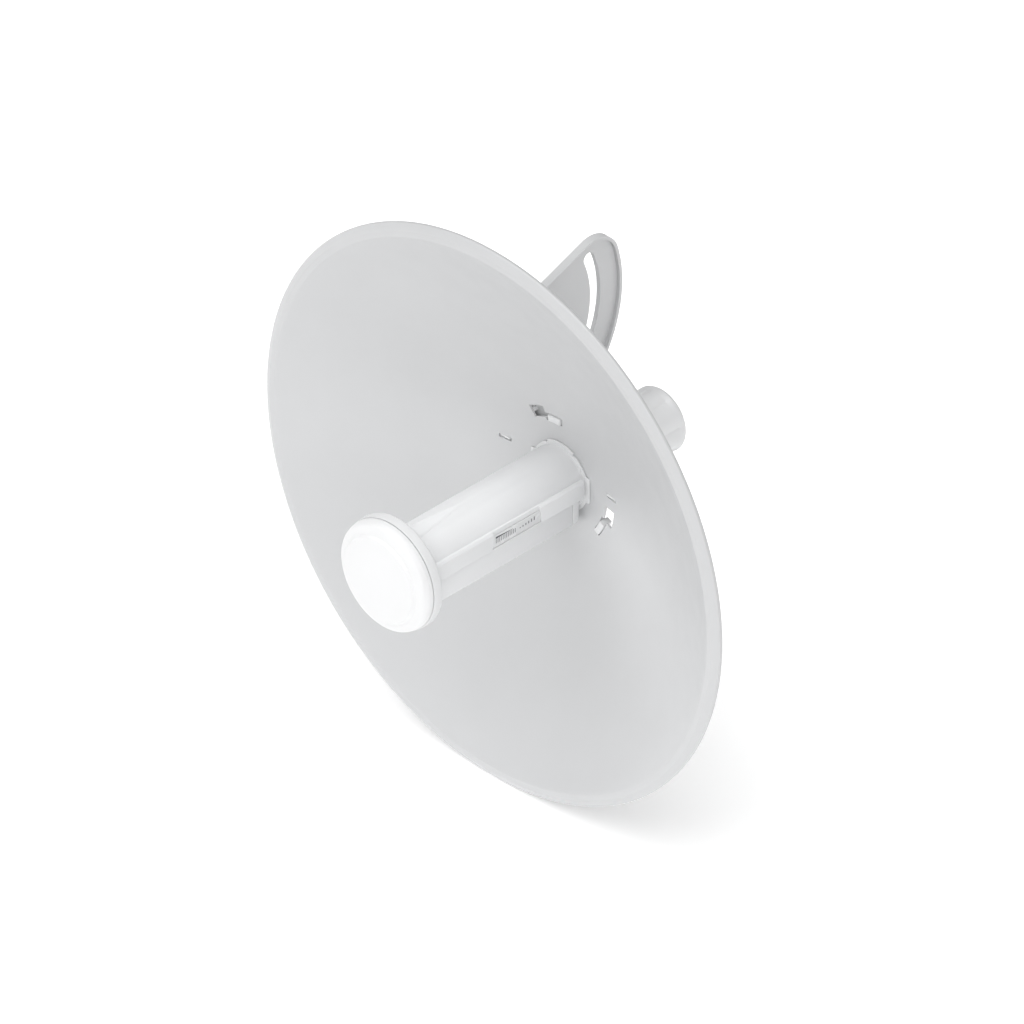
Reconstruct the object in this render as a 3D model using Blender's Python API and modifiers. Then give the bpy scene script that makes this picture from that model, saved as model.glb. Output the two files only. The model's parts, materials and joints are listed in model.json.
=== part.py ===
"""Outdoor wireless bridge: a round dish with a tubular radio feed on a tilting pole mount.

Working frame: X to the right, the dish faces -Y, +Z up, zero at the centre of the rim's front
plane. An empty moves that frame so that the world origin is on the axis of the pole, half way
up the clamp. Lengths are metres: named lengths in millimetres are multiplied by MM.
"""
import bpy
import bmesh
from math import cos
from math import pi
from math import radians
from math import sin
from mathutils import Matrix
from mathutils import Vector
from mathutils.geometry import convex_hull_2d

MM = 0.001
GAP = 0.3 * MM
WASHER = 1.6 * MM
MERGE = 0.00001

# Dish: a thin parabolic sheet with a flared, hemmed rim.
DISH_DEPTH = 67.0 * MM
DISH_RADIUS = 200.0 * MM
DISH_SHEET = 1.3 * MM
DISH_HOLE = 24.9 * MM
RIM_INNER = 200.3 * MM
RIM_FLAT = 204.4 * MM
RIM_RADIUS = 210.0 * MM
RIM_FLARE_DEPTH = 3.1 * MM
RIM_DEPTH = 5.6 * MM
DISH_STEPS = 64
DISH_RINGS = 8

# Openings in the dish: three bayonet slots and two latch slits.
WIDE_INNER = 43.0 * MM
WIDE_OUTER = 52.0 * MM
NARROW_INNER = 41.0 * MM
NARROW_OUTER = 47.0 * MM
WIDE_ANGLE = 15.5
NARROW_ANGLE = 19.0
SLOT_STARTS = (121.0, -3.5, -122.5)
LATCH_X = 49.0 * MM
LATCH_Z = 7.3 * MM
SLIT_WIDTH = 10.0 * MM
SLIT_HEIGHT = 3.0 * MM

# Mount base behind the dish, with its sleeve for the feed's tail.
BASE_RADIUS = 48.5 * MM
BASE_FRONT = 69.0 * MM
BASE_BACK = 73.0 * MM
SLEEVE_RADIUS = 21.0 * MM
SLEEVE_BORE = 17.7 * MM
SLEEVE_END = 115.7 * MM

# Rear locking knob.
KNOB_RADIUS = 23.5 * MM
KNOB_FRONT = 118.0 * MM
KNOB_END = 160.0 * MM
KNOB_ROUND = 4.0 * MM
KNOB_BORE_DEPTH = 16.0 * MM
KNOB_GROOVES = 7
KNOB_GROOVE_RADIUS = 2.4 * MM
KNOB_GROOVE_END = 153.0 * MM

# Fan-shaped elevation plate and the pivot it turns on.
FAN_X = -49.5 * MM
FAN_WEB = 3.4 * MM
FAN_FLANGE = 6.0 * MM
FAN_BEAD = 2.4 * MM
PIVOT_Y = 64.9 * MM
PIVOT_Z = 85.0 * MM
FAN_RADIUS = 100.8 * MM
FAN_CORNER = 21.2 * MM
FAN_EDGE_SLOPE = radians(20.2)
FAN_EDGE_RISE = 16.6 * MM
FAN_NOSE = 10.8 * MM
FAN_LOW_ANGLE = radians(-65.0)
SLOT_RADIUS = 78.3 * MM
SLOT_WIDTH = 9.4 * MM
SLOT_TOP_ANGLE = radians(22.4)
SLOT_LOW_ANGLE = radians(-52.0)
LOCK_ANGLE = radians(-34.0)
FAN_FRONT = BASE_BACK + 1.6 * MM
FAN_FOOT_LOW = -14.0 * MM
FAN_FOOT_HIGH = 34.0 * MM

# Pole bracket and clamp.
CHEEK = 3.5 * MM
POLE_X = -90.0 * MM
POLE_Y = 127.0 * MM
POLE_Z = -20.0 * MM
POLE_RADIUS = 24.0 * MM
CLAMP_HEIGHT = 50.0 * MM
CLAMP_HALF_WIDTH = 40.0 * MM
CLAMP_BOLT_OFFSET = 31.0 * MM
CLAMP_WALL = 4.0 * MM
CLAMP_RIB_DEPTH = 16.0 * MM

# Radio feed.
TUBE_RADIUS = 23.5 * MM
TUBE_WALL = 2.2 * MM
TUBE_FRONT = -84.0 * MM
TUBE_END = 62.0 * MM
RIB_X = 25.0 * MM
RIB_TOP = 9.3 * MM
RIB_LOW = -4.3 * MM
BOX_X = 20.0 * MM
BOX_LOW = -26.7 * MM
COVER_TOP = -6.6 * MM
COVER_END = 56.0 * MM
COVER_WALL = 1.8 * MM
OUTLET_Y = 47.0 * MM
OUTLET_RADIUS = 4.5 * MM
CABLE_RADIUS = 3.3 * MM
WINDOW_HALF = 22.0 * MM
WINDOW_LOW = -2.6 * MM
WINDOW_HIGH = 6.2 * MM
WINDOW_DEPTH = 1.8 * MM
TAIL_RADIUS = 17.4 * MM
TAIL_BORE = 13.5 * MM
TAIL_END = 133.0 * MM
CAP_RADIUS = 40.9 * MM
CAP_BACK = -84.3 * MM
CAP_SEAM = -92.2 * MM
RADOME_RADIUS = 40.2 * MM
RADOME_WALL = 2.0 * MM
PCB_TOP = 0.0
PCB_THICK = 1.6 * MM
PCB_HALF_WIDTH = 18.0 * MM
BUTTON_X = 12.6 * MM
BUTTON_Y = -9.0 * MM

TURN_FOR_AXIS = {"X": (pi / 2, 0, pi / 2), "Y": (pi / 2, 0, 0), "Z": (0, 0, 0)}
SPIN_FOR_AXIS = {"X": (0, pi / 2, 0), "Y": (-pi / 2, 0, 0), "Z": (0, 0, 0)}


def clear_scene():
    for item in list(bpy.data.objects):
        bpy.data.objects.remove(item, do_unlink=True)


def new_collection(name):
    collection = bpy.data.collections.new(name)
    bpy.context.scene.collection.children.link(collection)
    return collection


def paint(name, colour, roughness, metallic=0.0):
    """A plain Principled material."""
    material = bpy.data.materials.new(name)
    material.use_nodes = True
    shader = material.node_tree.nodes["Principled BSDF"]
    shader.inputs["Base Color"].default_value = (*colour, 1.0)
    shader.inputs["Roughness"].default_value = roughness
    shader.inputs["Metallic"].default_value = metallic
    return material


clear_scene()
PARTS = new_collection("outdoor_wireless_bridge")
CUTTERS = new_collection("cutters")
WHITE_METAL = paint("powder_coated_metal", (0.78, 0.79, 0.80), 0.45)
WHITE_PLASTIC = paint("white_plastic", (0.84, 0.85, 0.86), 0.38)
RADOME = paint("radome_plastic", (0.88, 0.89, 0.90), 0.35)
DARK_LENS = paint("smoked_lens", (0.16, 0.17, 0.18), 0.2)
RUBBER = paint("grey_rubber", (0.12, 0.12, 0.13), 0.8)
STEEL = paint("stainless_steel", (0.60, 0.60, 0.61), 0.35, 1.0)
BRASS = paint("brass", (0.72, 0.55, 0.28), 0.35, 1.0)
BOARD = paint("circuit_board", (0.03, 0.16, 0.08), 0.5)
BLACK_PLASTIC = paint("black_plastic", (0.03, 0.03, 0.03), 0.5)


def add_empty(name, place, parent=None):
    empty = bpy.data.objects.new(name, None)
    PARTS.objects.link(empty)
    empty.location = place
    empty.parent = parent
    return empty


ASSEMBLY = add_empty("pole_axis_origin", (-POLE_X, -POLE_Y, -POLE_Z))
ELEVATION = add_empty("elevation_pivot", (FAN_X, PIVOT_Y, PIVOT_Z), ASSEMBLY)
KNOB_AXIS = add_empty("knob_axis", (0, KNOB_FRONT, 0), ASSEMBLY)
JAW_SLIDE = add_empty("jaw_slide", (POLE_X, POLE_Y, POLE_Z), ASSEMBLY)
COVER_SLIDE = add_empty("cover_slide", (0, 0, COVER_TOP), ASSEMBLY)
BUTTON_SLIDE = add_empty("button_slide", (BUTTON_X, BUTTON_Y, COVER_TOP), ASSEMBLY)


def attach(item, parent):
    """Parents an object placed in the working frame, without moving it."""
    item.parent = parent
    if parent is not ASSEMBLY:
        item.matrix_parent_inverse = Matrix.Translation(-parent.location)


def finish(item, material, parent, angle=35):
    item.data.materials.clear()
    item.data.materials.append(material)
    item.data.shade_smooth()
    item.data.set_sharp_from_angle(angle=radians(angle))
    attach(item, parent)
    return item


def place_on_axis(item, axis, middle):
    item.location = [middle if axis == name else 0.0 for name in "XYZ"]
    item.rotation_euler = TURN_FOR_AXIS[axis]


def outline_solid(name, loops, low, high, axis, material, parent=ASSEMBLY):
    """A flat outline, its holes as further loops, as a solid from low to high on an axis.

    The outline's pairs are (Y, Z) for the X axis, (X, Z) for Y and (X, Y) for Z.
    """
    curve = bpy.data.curves.new(name + "_outline", "CURVE")
    curve.dimensions = "2D"
    curve.fill_mode = "BOTH"
    curve.extrude = (high - low) / 2
    for loop in loops:
        spline = curve.splines.new("POLY")
        spline.points.add(len(loop) - 1)
        spline.use_cyclic_u = True
        for point, pair in zip(spline.points, loop):
            point.co = (pair[0], pair[1], 0.0, 1.0)
    drawn = bpy.data.objects.new(name + "_outline", curve)
    PARTS.objects.link(drawn)
    place_on_axis(drawn, axis, (low + high) / 2)
    bpy.context.view_layer.update()
    evaluated = drawn.evaluated_get(bpy.context.evaluated_depsgraph_get())
    mesh = bpy.data.meshes.new_from_object(evaluated)
    shape = bmesh.new()
    shape.from_mesh(mesh)
    bmesh.ops.remove_doubles(shape, verts=shape.verts, dist=MERGE)
    shape.to_mesh(mesh)
    shape.free()
    item = bpy.data.objects.new(name, mesh)
    item.matrix_world = drawn.matrix_world
    bpy.data.objects.remove(drawn, do_unlink=True)
    PARTS.objects.link(item)
    return finish(item, material, parent)


def turned(name, profile, axis, centre, material, parent=ASSEMBLY, steps=36, closed=True):
    """A turned solid. The profile's pairs are (radius, place on the axis), and it runs
    down the outer side, from the high end to the low one. An open profile meets the axis."""
    mesh = bpy.data.meshes.new(name)
    shape = bmesh.new()
    points = [shape.verts.new((radius, 0.0, along)) for radius, along in profile]
    pairs = list(zip(points, points[1:]))
    if closed:
        pairs.append((points[-1], points[0]))
    for first, second in pairs:
        shape.edges.new((first, second))
    shape.to_mesh(mesh)
    shape.free()
    item = bpy.data.objects.new(name, mesh)
    PARTS.objects.link(item)
    item.location = centre
    item.rotation_euler = SPIN_FOR_AXIS[axis]
    screw = item.modifiers.new("turn", "SCREW")
    screw.axis = "Z"
    screw.angle = 2 * pi
    screw.steps = steps
    screw.render_steps = steps
    screw.use_merge_vertices = True
    screw.merge_threshold = MERGE
    return finish(item, material, parent)


def box(name, low, high, material, parent=ASSEMBLY, bevel=0.0):
    """A block between two corners, with an optional small bevel."""
    centre = [(a + b) / 2 for a, b in zip(low, high)]
    bpy.ops.mesh.primitive_cube_add(size=1.0)
    item = bpy.context.object
    item.name = name
    item.data.name = name
    item.data.transform(Matrix.Diagonal([b - a for a, b in zip(low, high)] + [1.0]))
    item.location = centre
    for collection in list(item.users_collection):
        collection.objects.unlink(item)
    PARTS.objects.link(item)
    if bevel:
        edge = item.modifiers.new("edge", "BEVEL")
        edge.width = bevel
        edge.segments = 2
    return finish(item, material, parent)


def repeat(item, count, step):
    """Makes numbered copies of a piece in equal steps. They share its mesh."""
    name = item.name
    item.name = name + "_1"
    for i in range(1, count):
        twin = item.copy()
        twin.name = name + "_%d" % (i + 1)
        twin.location = item.location + Vector(step) * i
        PARTS.objects.link(twin)


def row_of_holes(item, count, step):
    """Repeats a cutter in equal steps."""
    local = item.rotation_euler.to_matrix().inverted() @ Vector(step)
    array = item.modifiers.new("row", "ARRAY")
    array.count = count
    array.use_relative_offset = False
    array.use_constant_offset = True
    array.constant_offset_displace = local


def combine(item, tool, operation):
    tool.hide_render = True
    tool.display_type = "WIRE"
    PARTS.objects.unlink(tool)
    CUTTERS.objects.link(tool)
    change = item.modifiers.new(tool.name, "BOOLEAN")
    change.operation = operation
    change.solver = "EXACT"
    change.object = tool


def cut(item, *tools):
    for tool in tools:
        combine(item, tool, "DIFFERENCE")


def join(item, *tools):
    for tool in tools:
        combine(item, tool, "UNION")


def arc(centre, radius, start, end, count):
    """Points on an arc, from one angle to another in radians."""
    angles = [start + (end - start) * i / count for i in range(count + 1)]
    return [(centre[0] + radius * cos(a), centre[1] + radius * sin(a)) for a in angles]


def circle(centre, radius, count=24):
    return arc(centre, radius, 0.0, 2 * pi, count)[:-1]


def rectangle(left, low, right, high):
    return [(left, low), (right, low), (right, high), (left, high)]


def sector(inner, outer, start, end, count=6):
    """An annular sector about the feed axis, from one angle to another in degrees."""
    first = radians(start)
    last = radians(end)
    return arc((0, 0), outer, first, last, count) + arc((0, 0), inner, last, first, count)


def hexagon(centre, across_flats):
    return circle(centre, across_flats / 2 / cos(pi / 6), 6)


def shifted_loop(points, inset):
    """The outline moved inwards by an equal distance along every side (runs anticlockwise)."""
    moved = []
    for i, point in enumerate(points):
        before = (Vector(point) - Vector(points[i - 1])).normalized()
        after = (Vector(points[(i + 1) % len(points)]) - Vector(point)).normalized()
        normal = Vector((-before.y - after.y, before.x + after.x)).normalized()
        scale = inset / max(0.3, normal.dot(Vector((-before.y, before.x))))
        moved.append(tuple(Vector(point) + normal * scale))
    return moved


def dish_front(radius):
    """Depth of the dish's front surface behind the rim plane."""
    return DISH_DEPTH * (1 - (radius / DISH_RADIUS) ** 2)


def slot_angles(start):
    """Where the wide part starts and ends and the narrow part ends, in degrees."""
    return start, start - WIDE_ANGLE, start - WIDE_ANGLE - NARROW_ANGLE


def build_dish():
    span = RIM_INNER - 1.0 * MM - DISH_HOLE
    radii = [DISH_HOLE + span * i / DISH_RINGS for i in range(DISH_RINGS + 1)]
    back = [(radius, dish_front(radius) + DISH_SHEET) for radius in radii]
    hem = [
        (202.6 * MM, 1.5 * MM),
        (204.8 * MM, 1.5 * MM),
        (208.4 * MM, 3.8 * MM),
        (207.8 * MM, RIM_DEPTH),
        (209.2 * MM, RIM_DEPTH),
        (RIM_RADIUS, RIM_FLARE_DEPTH),
        (RIM_FLAT, 0.0),
        (RIM_INNER, 0.1 * MM),
    ]
    front = [(radius, dish_front(radius)) for radius in reversed(radii)]
    dish = turned("reflector_dish", back + hem + front, "Y", (0, 0, 0), WHITE_METAL,
                  ELEVATION, DISH_STEPS)
    low = DISH_DEPTH - 12.0 * MM
    high = DISH_DEPTH + 6.0 * MM
    for i, start in enumerate(SLOT_STARTS):
        wide_start, wide_end, narrow_end = slot_angles(start)
        overlap = 1.0
        wide = sector(WIDE_INNER, WIDE_OUTER, wide_end, wide_start)
        narrow = sector(NARROW_INNER, NARROW_OUTER, narrow_end, wide_end + overlap)
        tag = str(i)
        cut(dish, outline_solid("dish_wide_cut_" + tag, [wide], low, high, "Y", STEEL))
        cut(dish, outline_solid("dish_narrow_cut_" + tag, [narrow], low, high, "Y", STEEL))
    for side in (-1, 1):
        middle = side * LATCH_X
        slit = rectangle(middle - SLIT_WIDTH / 2, LATCH_Z - SLIT_HEIGHT / 2,
                         middle + SLIT_WIDTH / 2, LATCH_Z + SLIT_HEIGHT / 2)
        cut(dish, outline_solid("dish_slit_cut_%d" % (side + 1), [slit], low, high, "Y", STEEL))


def build_mount_base():
    rest = dish_front(BASE_RADIUS) + DISH_SHEET + GAP
    profile = [
        (SLEEVE_RADIUS, SLEEVE_END),
        (SLEEVE_RADIUS, BASE_BACK + 5.0 * MM),
        (SLEEVE_RADIUS + 4.0 * MM, BASE_BACK),
        (BASE_RADIUS, BASE_BACK),
        (BASE_RADIUS, rest),
        (BASE_RADIUS - 2.5 * MM, rest + 0.5 * MM),
        (BASE_RADIUS - 2.5 * MM, BASE_FRONT),
        (SLEEVE_BORE, BASE_FRONT),
        (SLEEVE_BORE, SLEEVE_END),
    ]
    base = turned("mount_base", profile, "Y", (0, 0, 0), WHITE_PLASTIC, ELEVATION)
    for i, start in enumerate(SLOT_STARTS):
        wide_start, wide_end, narrow_end = slot_angles(start)
        closed_behind = i == 0
        window = sector(33.0 * MM, BASE_RADIUS + 5.0 * MM, wide_end - 3.0 - 11.0 * (i == 1),
                        wide_start + 2.0)
        hook = sector(NARROW_INNER + 0.7 * MM, NARROW_OUTER - 0.7 * MM,
                      narrow_end + 1.2, wide_end - 4.0)
        tag = str(i)
        if closed_behind:
            join(base, outline_solid("base_ear_" + tag, [window], BASE_FRONT, BASE_BACK, "Y",
                                     STEEL))
        window_end = BASE_FRONT if closed_behind else BASE_BACK + 2.0 * MM
        cut(base, outline_solid("base_window_cut_" + tag, [window], rest - 2.0 * MM, window_end,
                                "Y", STEEL))
        join(base, outline_solid("base_hook_" + tag, [hook], dish_front(NARROW_OUTER) - 1.0 * MM,
                                 BASE_FRONT + 1.0 * MM, "Y", STEEL))
    for side in (-1, 1):
        middle = side * LATCH_X
        low = (middle - 5.0 * MM, BASE_FRONT, LATCH_Z - 4.5 * MM)
        high = (middle + 4.0 * MM, BASE_BACK, LATCH_Z + 4.5 * MM)
        if side < 0:
            low, high = (middle - 4.0 * MM, low[1], low[2]), (middle + 5.0 * MM, high[1], high[2])
        join(base, box("base_arm_%d" % (side + 1), low, high, STEEL))
        cut(base, box("base_latch_cut_%d" % (side + 1),
                      (middle - 4.8 * MM, rest - 3.0 * MM, LATCH_Z - 1.6 * MM),
                      (middle + 4.8 * MM, BASE_FRONT, LATCH_Z + 1.6 * MM), STEEL))
    wall_x = FAN_X + FAN_WEB + GAP
    wall = box("base_wall", (wall_x, BASE_BACK - 2.0 * MM, -16.0 * MM),
               (wall_x + 4.0 * MM, 99.0 * MM, 31.0 * MM), STEEL)
    brace = box("base_brace", (wall_x + 2.0 * MM, BASE_BACK - 1.0 * MM, -2.0 * MM),
                (-SLEEVE_BORE - 1.5 * MM, 90.0 * MM, 2.0 * MM), STEEL)
    join(base, wall, brace)
    holes = outline_solid("base_screw_cut", [circle((88.0 * MM, -8.0 * MM), 2.3 * MM, 12)],
                          wall_x - 2.0 * MM, wall_x + 6.0 * MM, "X", STEEL)
    row_of_holes(holes, 3, (0, 0, 16.0 * MM))
    cut(base, holes)


def build_base_fittings():
    turned("feed_collar", [
        (DISH_HOLE - GAP, BASE_FRONT - GAP),
        (DISH_HOLE - GAP, 65.6 * MM),
        (DISH_HOLE + 1.0 * MM, 65.6 * MM),
        (DISH_HOLE + 1.0 * MM, 65.0 * MM),
        (18.2 * MM, 65.0 * MM),
        (18.2 * MM, BASE_FRONT - GAP),
    ], "Y", (0, 0, 0), WHITE_PLASTIC, ELEVATION)
    latches = outline_solid("snap_latch", [rectangle(-LATCH_X - 4.2 * MM, LATCH_Z - 1.0 * MM,
                                                       -LATCH_X + 4.2 * MM, LATCH_Z + 1.0 * MM)],
                            61.0 * MM, BASE_FRONT - GAP, "Y", WHITE_PLASTIC, ELEVATION)
    repeat(latches, 2, (2 * LATCH_X, 0, 0))
    screw_x = FAN_X + FAN_WEB + 2 * GAP + 4.0 * MM
    screws = turned("fan_screw", [
        (0.0, screw_x + 2.6 * MM),
        (3.6 * MM, screw_x + 2.2 * MM),
        (3.8 * MM, screw_x),
        (2.0 * MM, screw_x),
        (2.0 * MM, FAN_X + 0.4 * MM),
        (0.0, FAN_X + 0.4 * MM),
    ], "X", (0, 88.0 * MM, -8.0 * MM), STEEL, ELEVATION, 12, False)
    repeat(screws, 3, (0, 0, 16.0 * MM))
    turned("knob_seal", [
        (20.8 * MM, KNOB_FRONT - GAP),
        (20.8 * MM, SLEEVE_END + GAP),
        (18.0 * MM, SLEEVE_END + GAP),
        (18.0 * MM, KNOB_FRONT - GAP),
    ], "Y", (0, 0, 0), RUBBER, ELEVATION, 32)


def fan_outline():
    """The fan's outline, anticlockwise: low foot, outer arc, round corner, top edge, nose."""
    pivot = (PIVOT_Y, PIVOT_Z)
    rise = Vector((-sin(FAN_EDGE_SLOPE), cos(FAN_EDGE_SLOPE)))
    run = Vector((cos(FAN_EDGE_SLOPE), sin(FAN_EDGE_SLOPE)))
    across = FAN_EDGE_RISE - FAN_CORNER
    along = ((FAN_RADIUS - FAN_CORNER) ** 2 - across ** 2) ** 0.5
    corner = Vector(pivot) + rise * across + run * along
    out = corner - Vector(pivot)
    meet = Vector((1, 0)).angle_signed(out) * -1
    top = FAN_EDGE_SLOPE + pi / 2
    foot = [(FAN_FRONT, FAN_FOOT_LOW), (FAN_FRONT + 24.0 * MM, FAN_FOOT_LOW)]
    outer = arc(pivot, FAN_RADIUS, FAN_LOW_ANGLE, meet, 20)
    bend = arc(corner, FAN_CORNER, meet, top, 6)[1:]
    shoulder = tuple(Vector(pivot) + rise * FAN_EDGE_RISE - run * 2.0 * MM)
    nose = arc(pivot, FAN_NOSE, radians(130), radians(205), 6)
    return foot + outer + bend + [shoulder] + nose + [(FAN_FRONT, FAN_FOOT_HIGH)]


def fan_slot():
    pivot = (PIVOT_Y, PIVOT_Z)
    half = SLOT_WIDTH / 2
    ends = arc(pivot, SLOT_RADIUS, SLOT_LOW_ANGLE, SLOT_TOP_ANGLE, 1)
    outer = arc(pivot, SLOT_RADIUS + half, SLOT_LOW_ANGLE, SLOT_TOP_ANGLE, 16)
    cap = arc(ends[1], half, SLOT_TOP_ANGLE, SLOT_TOP_ANGLE + pi, 6)[1:-1]
    inner = arc(pivot, SLOT_RADIUS - half, SLOT_TOP_ANGLE, SLOT_LOW_ANGLE, 16)
    base = arc(ends[0], half, SLOT_LOW_ANGLE + pi, SLOT_LOW_ANGLE + 2 * pi, 6)[1:-1]
    return outer + cap + inner + base


def build_fan():
    outline = fan_outline()
    bolt_hole = circle((PIVOT_Y, PIVOT_Z), 4.4 * MM)
    screw_holes = [circle((88.0 * MM, (-8.0 + 16.0 * i) * MM), 2.3 * MM, 12) for i in range(3)]
    fan = outline_solid("elevation_fan", [outline, fan_slot(), bolt_hole] + screw_holes,
                        FAN_X, FAN_X + FAN_WEB, "X", WHITE_METAL, ELEVATION)
    bead = outline_solid("fan_bead", [outline, shifted_loop(outline, FAN_BEAD)],
                         FAN_X + 1.0 * MM, FAN_X + FAN_FLANGE, "X", WHITE_METAL)
    foot = box("fan_foot_clearance", (FAN_X + FAN_WEB, FAN_FRONT - 5.0 * MM, -20.0 * MM),
               (FAN_X + 12.0 * MM, 100.5 * MM, 36.0 * MM), STEEL)
    cut(bead, foot)
    join(fan, bead)


def build_lock_hardware():
    lock_y = PIVOT_Y + SLOT_RADIUS * cos(LOCK_ANGLE)
    lock_z = PIVOT_Z + SLOT_RADIUS * sin(LOCK_ANGLE)
    fan_face = FAN_X + FAN_WEB + GAP
    cheek_face = FAN_X - 2 * GAP - CHEEK
    for label, y, z, shank, head, washer in (
        ("pivot", PIVOT_Y, PIVOT_Z, 4.0 * MM, 13.0 * MM, 8.0 * MM),
        ("lock", lock_y, lock_z, 4.0 * MM, 13.0 * MM, 9.0 * MM),
    ):
        seat = fan_face + WASHER
        turned(label + "_washer", [
            (washer, seat), (washer, fan_face), (shank + GAP, fan_face), (shank + GAP, seat),
        ], "X", (0, y, z), STEEL, steps=18)
        grip = head / 2 + 1.0 * MM
        turned(label + "_bolt", [
            (0.0, seat + GAP + 4.2 * MM),
            (grip * 0.6, seat + GAP + 3.8 * MM),
            (grip, seat + GAP + 1.5 * MM),
            (grip, seat + GAP),
            (shank, seat + GAP),
            (shank, cheek_face - 12.0 * MM),
            (0.0, cheek_face - 12.0 * MM),
        ], "X", (0, y, z), STEEL, steps=18, closed=False)
        outline_solid(label + "_nut", [hexagon((y, z), head), circle((y, z), shank + GAP, 18)],
                      cheek_face - GAP - head * 0.5, cheek_face - GAP, "X", STEEL)


def v_notched_rib(pole_side):
    """Outline of a rib with a 120 degree notch that the pole lies in; +1 faces +Y."""
    apex = POLE_Y - pole_side * POLE_RADIUS / sin(pi / 3)
    back = apex - pole_side * 3.5 * MM
    lip = back + pole_side * CLAMP_RIB_DEPTH
    half_open = abs(lip - apex) * 1.732
    width = CLAMP_HALF_WIDTH - 17.5 * MM
    points = [
        (POLE_X - width, back), (POLE_X + width, back), (POLE_X + width, lip),
        (POLE_X + half_open, lip), (POLE_X, apex), (POLE_X - half_open, lip),
        (POLE_X - width, lip),
    ]
    return points if pole_side > 0 else list(reversed(points))


def build_pole_bracket():
    low = POLE_Z - CLAMP_HEIGHT / 2
    high = POLE_Z + CLAMP_HEIGHT / 2
    wall_back = POLE_Y - POLE_RADIUS / sin(pi / 3) - 1.3 * MM
    wall_front = wall_back - CLAMP_WALL
    lock = (PIVOT_Y + SLOT_RADIUS * cos(LOCK_ANGLE), PIVOT_Z + SLOT_RADIUS * sin(LOCK_ANGLE))
    rim = circle((PIVOT_Y, PIVOT_Z), 11.0 * MM) + circle(lock, 10.0 * MM)
    heel_front = (wall_front, high)
    heel_back = (118.0 * MM, high)
    rim += [heel_front, heel_back]
    hull = [rim[i] for i in convex_hull_2d([Vector(point) for point in rim])]
    turn = hull.index(heel_front) + 1
    outline = hull[turn:] + hull[:turn] + [(heel_front[0], low), (heel_back[0], low)]
    cheek_out = FAN_X - GAP - CHEEK
    bracket = outline_solid("pole_bracket", [
        outline, circle((PIVOT_Y, PIVOT_Z), 4.4 * MM), circle(lock, 4.4 * MM),
    ], cheek_out, FAN_X - GAP, "X", WHITE_METAL)
    holes = [circle((POLE_X + side * CLAMP_BOLT_OFFSET, POLE_Z), 4.4 * MM) for side in (-1, 1)]
    plate = rectangle(POLE_X - CLAMP_HALF_WIDTH, low, cheek_out + 2.0 * MM, high)
    join(bracket, outline_solid("bracket_wall", [plate] + holes, wall_front, wall_back,
                                "Y", WHITE_METAL))
    rib = v_notched_rib(1)
    for place in (low, high - CLAMP_WALL):
        join(bracket, outline_solid("bracket_rib", [rib], place, place + CLAMP_WALL,
                                    "Z", WHITE_METAL))
    gusset = [
        (cheek_out - 14.0 * MM, wall_back - 1.0 * MM), (cheek_out + 1.0 * MM, wall_back - 1.0 * MM),
        (cheek_out + 1.0 * MM, wall_back + 13.0 * MM),
    ]
    for place in (low, high - CLAMP_WALL):
        join(bracket, outline_solid("bracket_gusset", [gusset], place, place + 3.0 * MM,
                                    "Z", WHITE_METAL))


def build_clamp():
    low = POLE_Z - CLAMP_HEIGHT / 2
    high = POLE_Z + CLAMP_HEIGHT / 2
    front = POLE_Y + POLE_RADIUS / sin(pi / 3) + 1.3 * MM
    back = front + CLAMP_WALL
    holes = [circle((POLE_X + side * CLAMP_BOLT_OFFSET, POLE_Z), 4.4 * MM) for side in (-1, 1)]
    plate = rectangle(POLE_X - CLAMP_HALF_WIDTH, low, POLE_X + CLAMP_HALF_WIDTH, high)
    jaw = outline_solid("clamp_jaw", [plate] + holes, front, back, "Y", WHITE_METAL, JAW_SLIDE)
    rib = v_notched_rib(-1)
    for place in (low, high - CLAMP_WALL):
        join(jaw, outline_solid("jaw_rib", [rib], place, place + CLAMP_WALL, "Z", WHITE_METAL))
    wall_front = POLE_Y - POLE_RADIUS / sin(pi / 3) - 1.3 * MM - CLAMP_WALL
    first = (POLE_X - CLAMP_BOLT_OFFSET, 0, POLE_Z)
    spacing = (2 * CLAMP_BOLT_OFFSET, 0, 0)
    washer_back = back + GAP + WASHER
    bolts = turned("clamp_bolt", [
        (0.0, washer_back + 11.0 * MM),
        (4.0 * MM, washer_back + 11.0 * MM),
        (4.0 * MM, wall_front - GAP),
        (8.0 * MM, wall_front - GAP),
        (6.4 * MM, wall_front - 3.2 * MM),
        (0.0, wall_front - 4.2 * MM),
    ], "Y", first, STEEL, steps=16, closed=False)
    repeat(bolts, 2, spacing)
    washers = turned("clamp_washer", [
        (8.0 * MM, washer_back), (8.0 * MM, washer_back - WASHER),
        (4.3 * MM, washer_back - WASHER), (4.3 * MM, washer_back),
    ], "Y", first, STEEL, JAW_SLIDE, 16)
    repeat(washers, 2, spacing)
    nuts = outline_solid("clamp_nut", [hexagon((first[0], POLE_Z), 13.0 * MM),
                                        circle((first[0], POLE_Z), 4.3 * MM, 18)],
                         washer_back + GAP, washer_back + 6.8 * MM, "Y", STEEL, JAW_SLIDE)
    repeat(nuts, 2, spacing)


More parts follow.
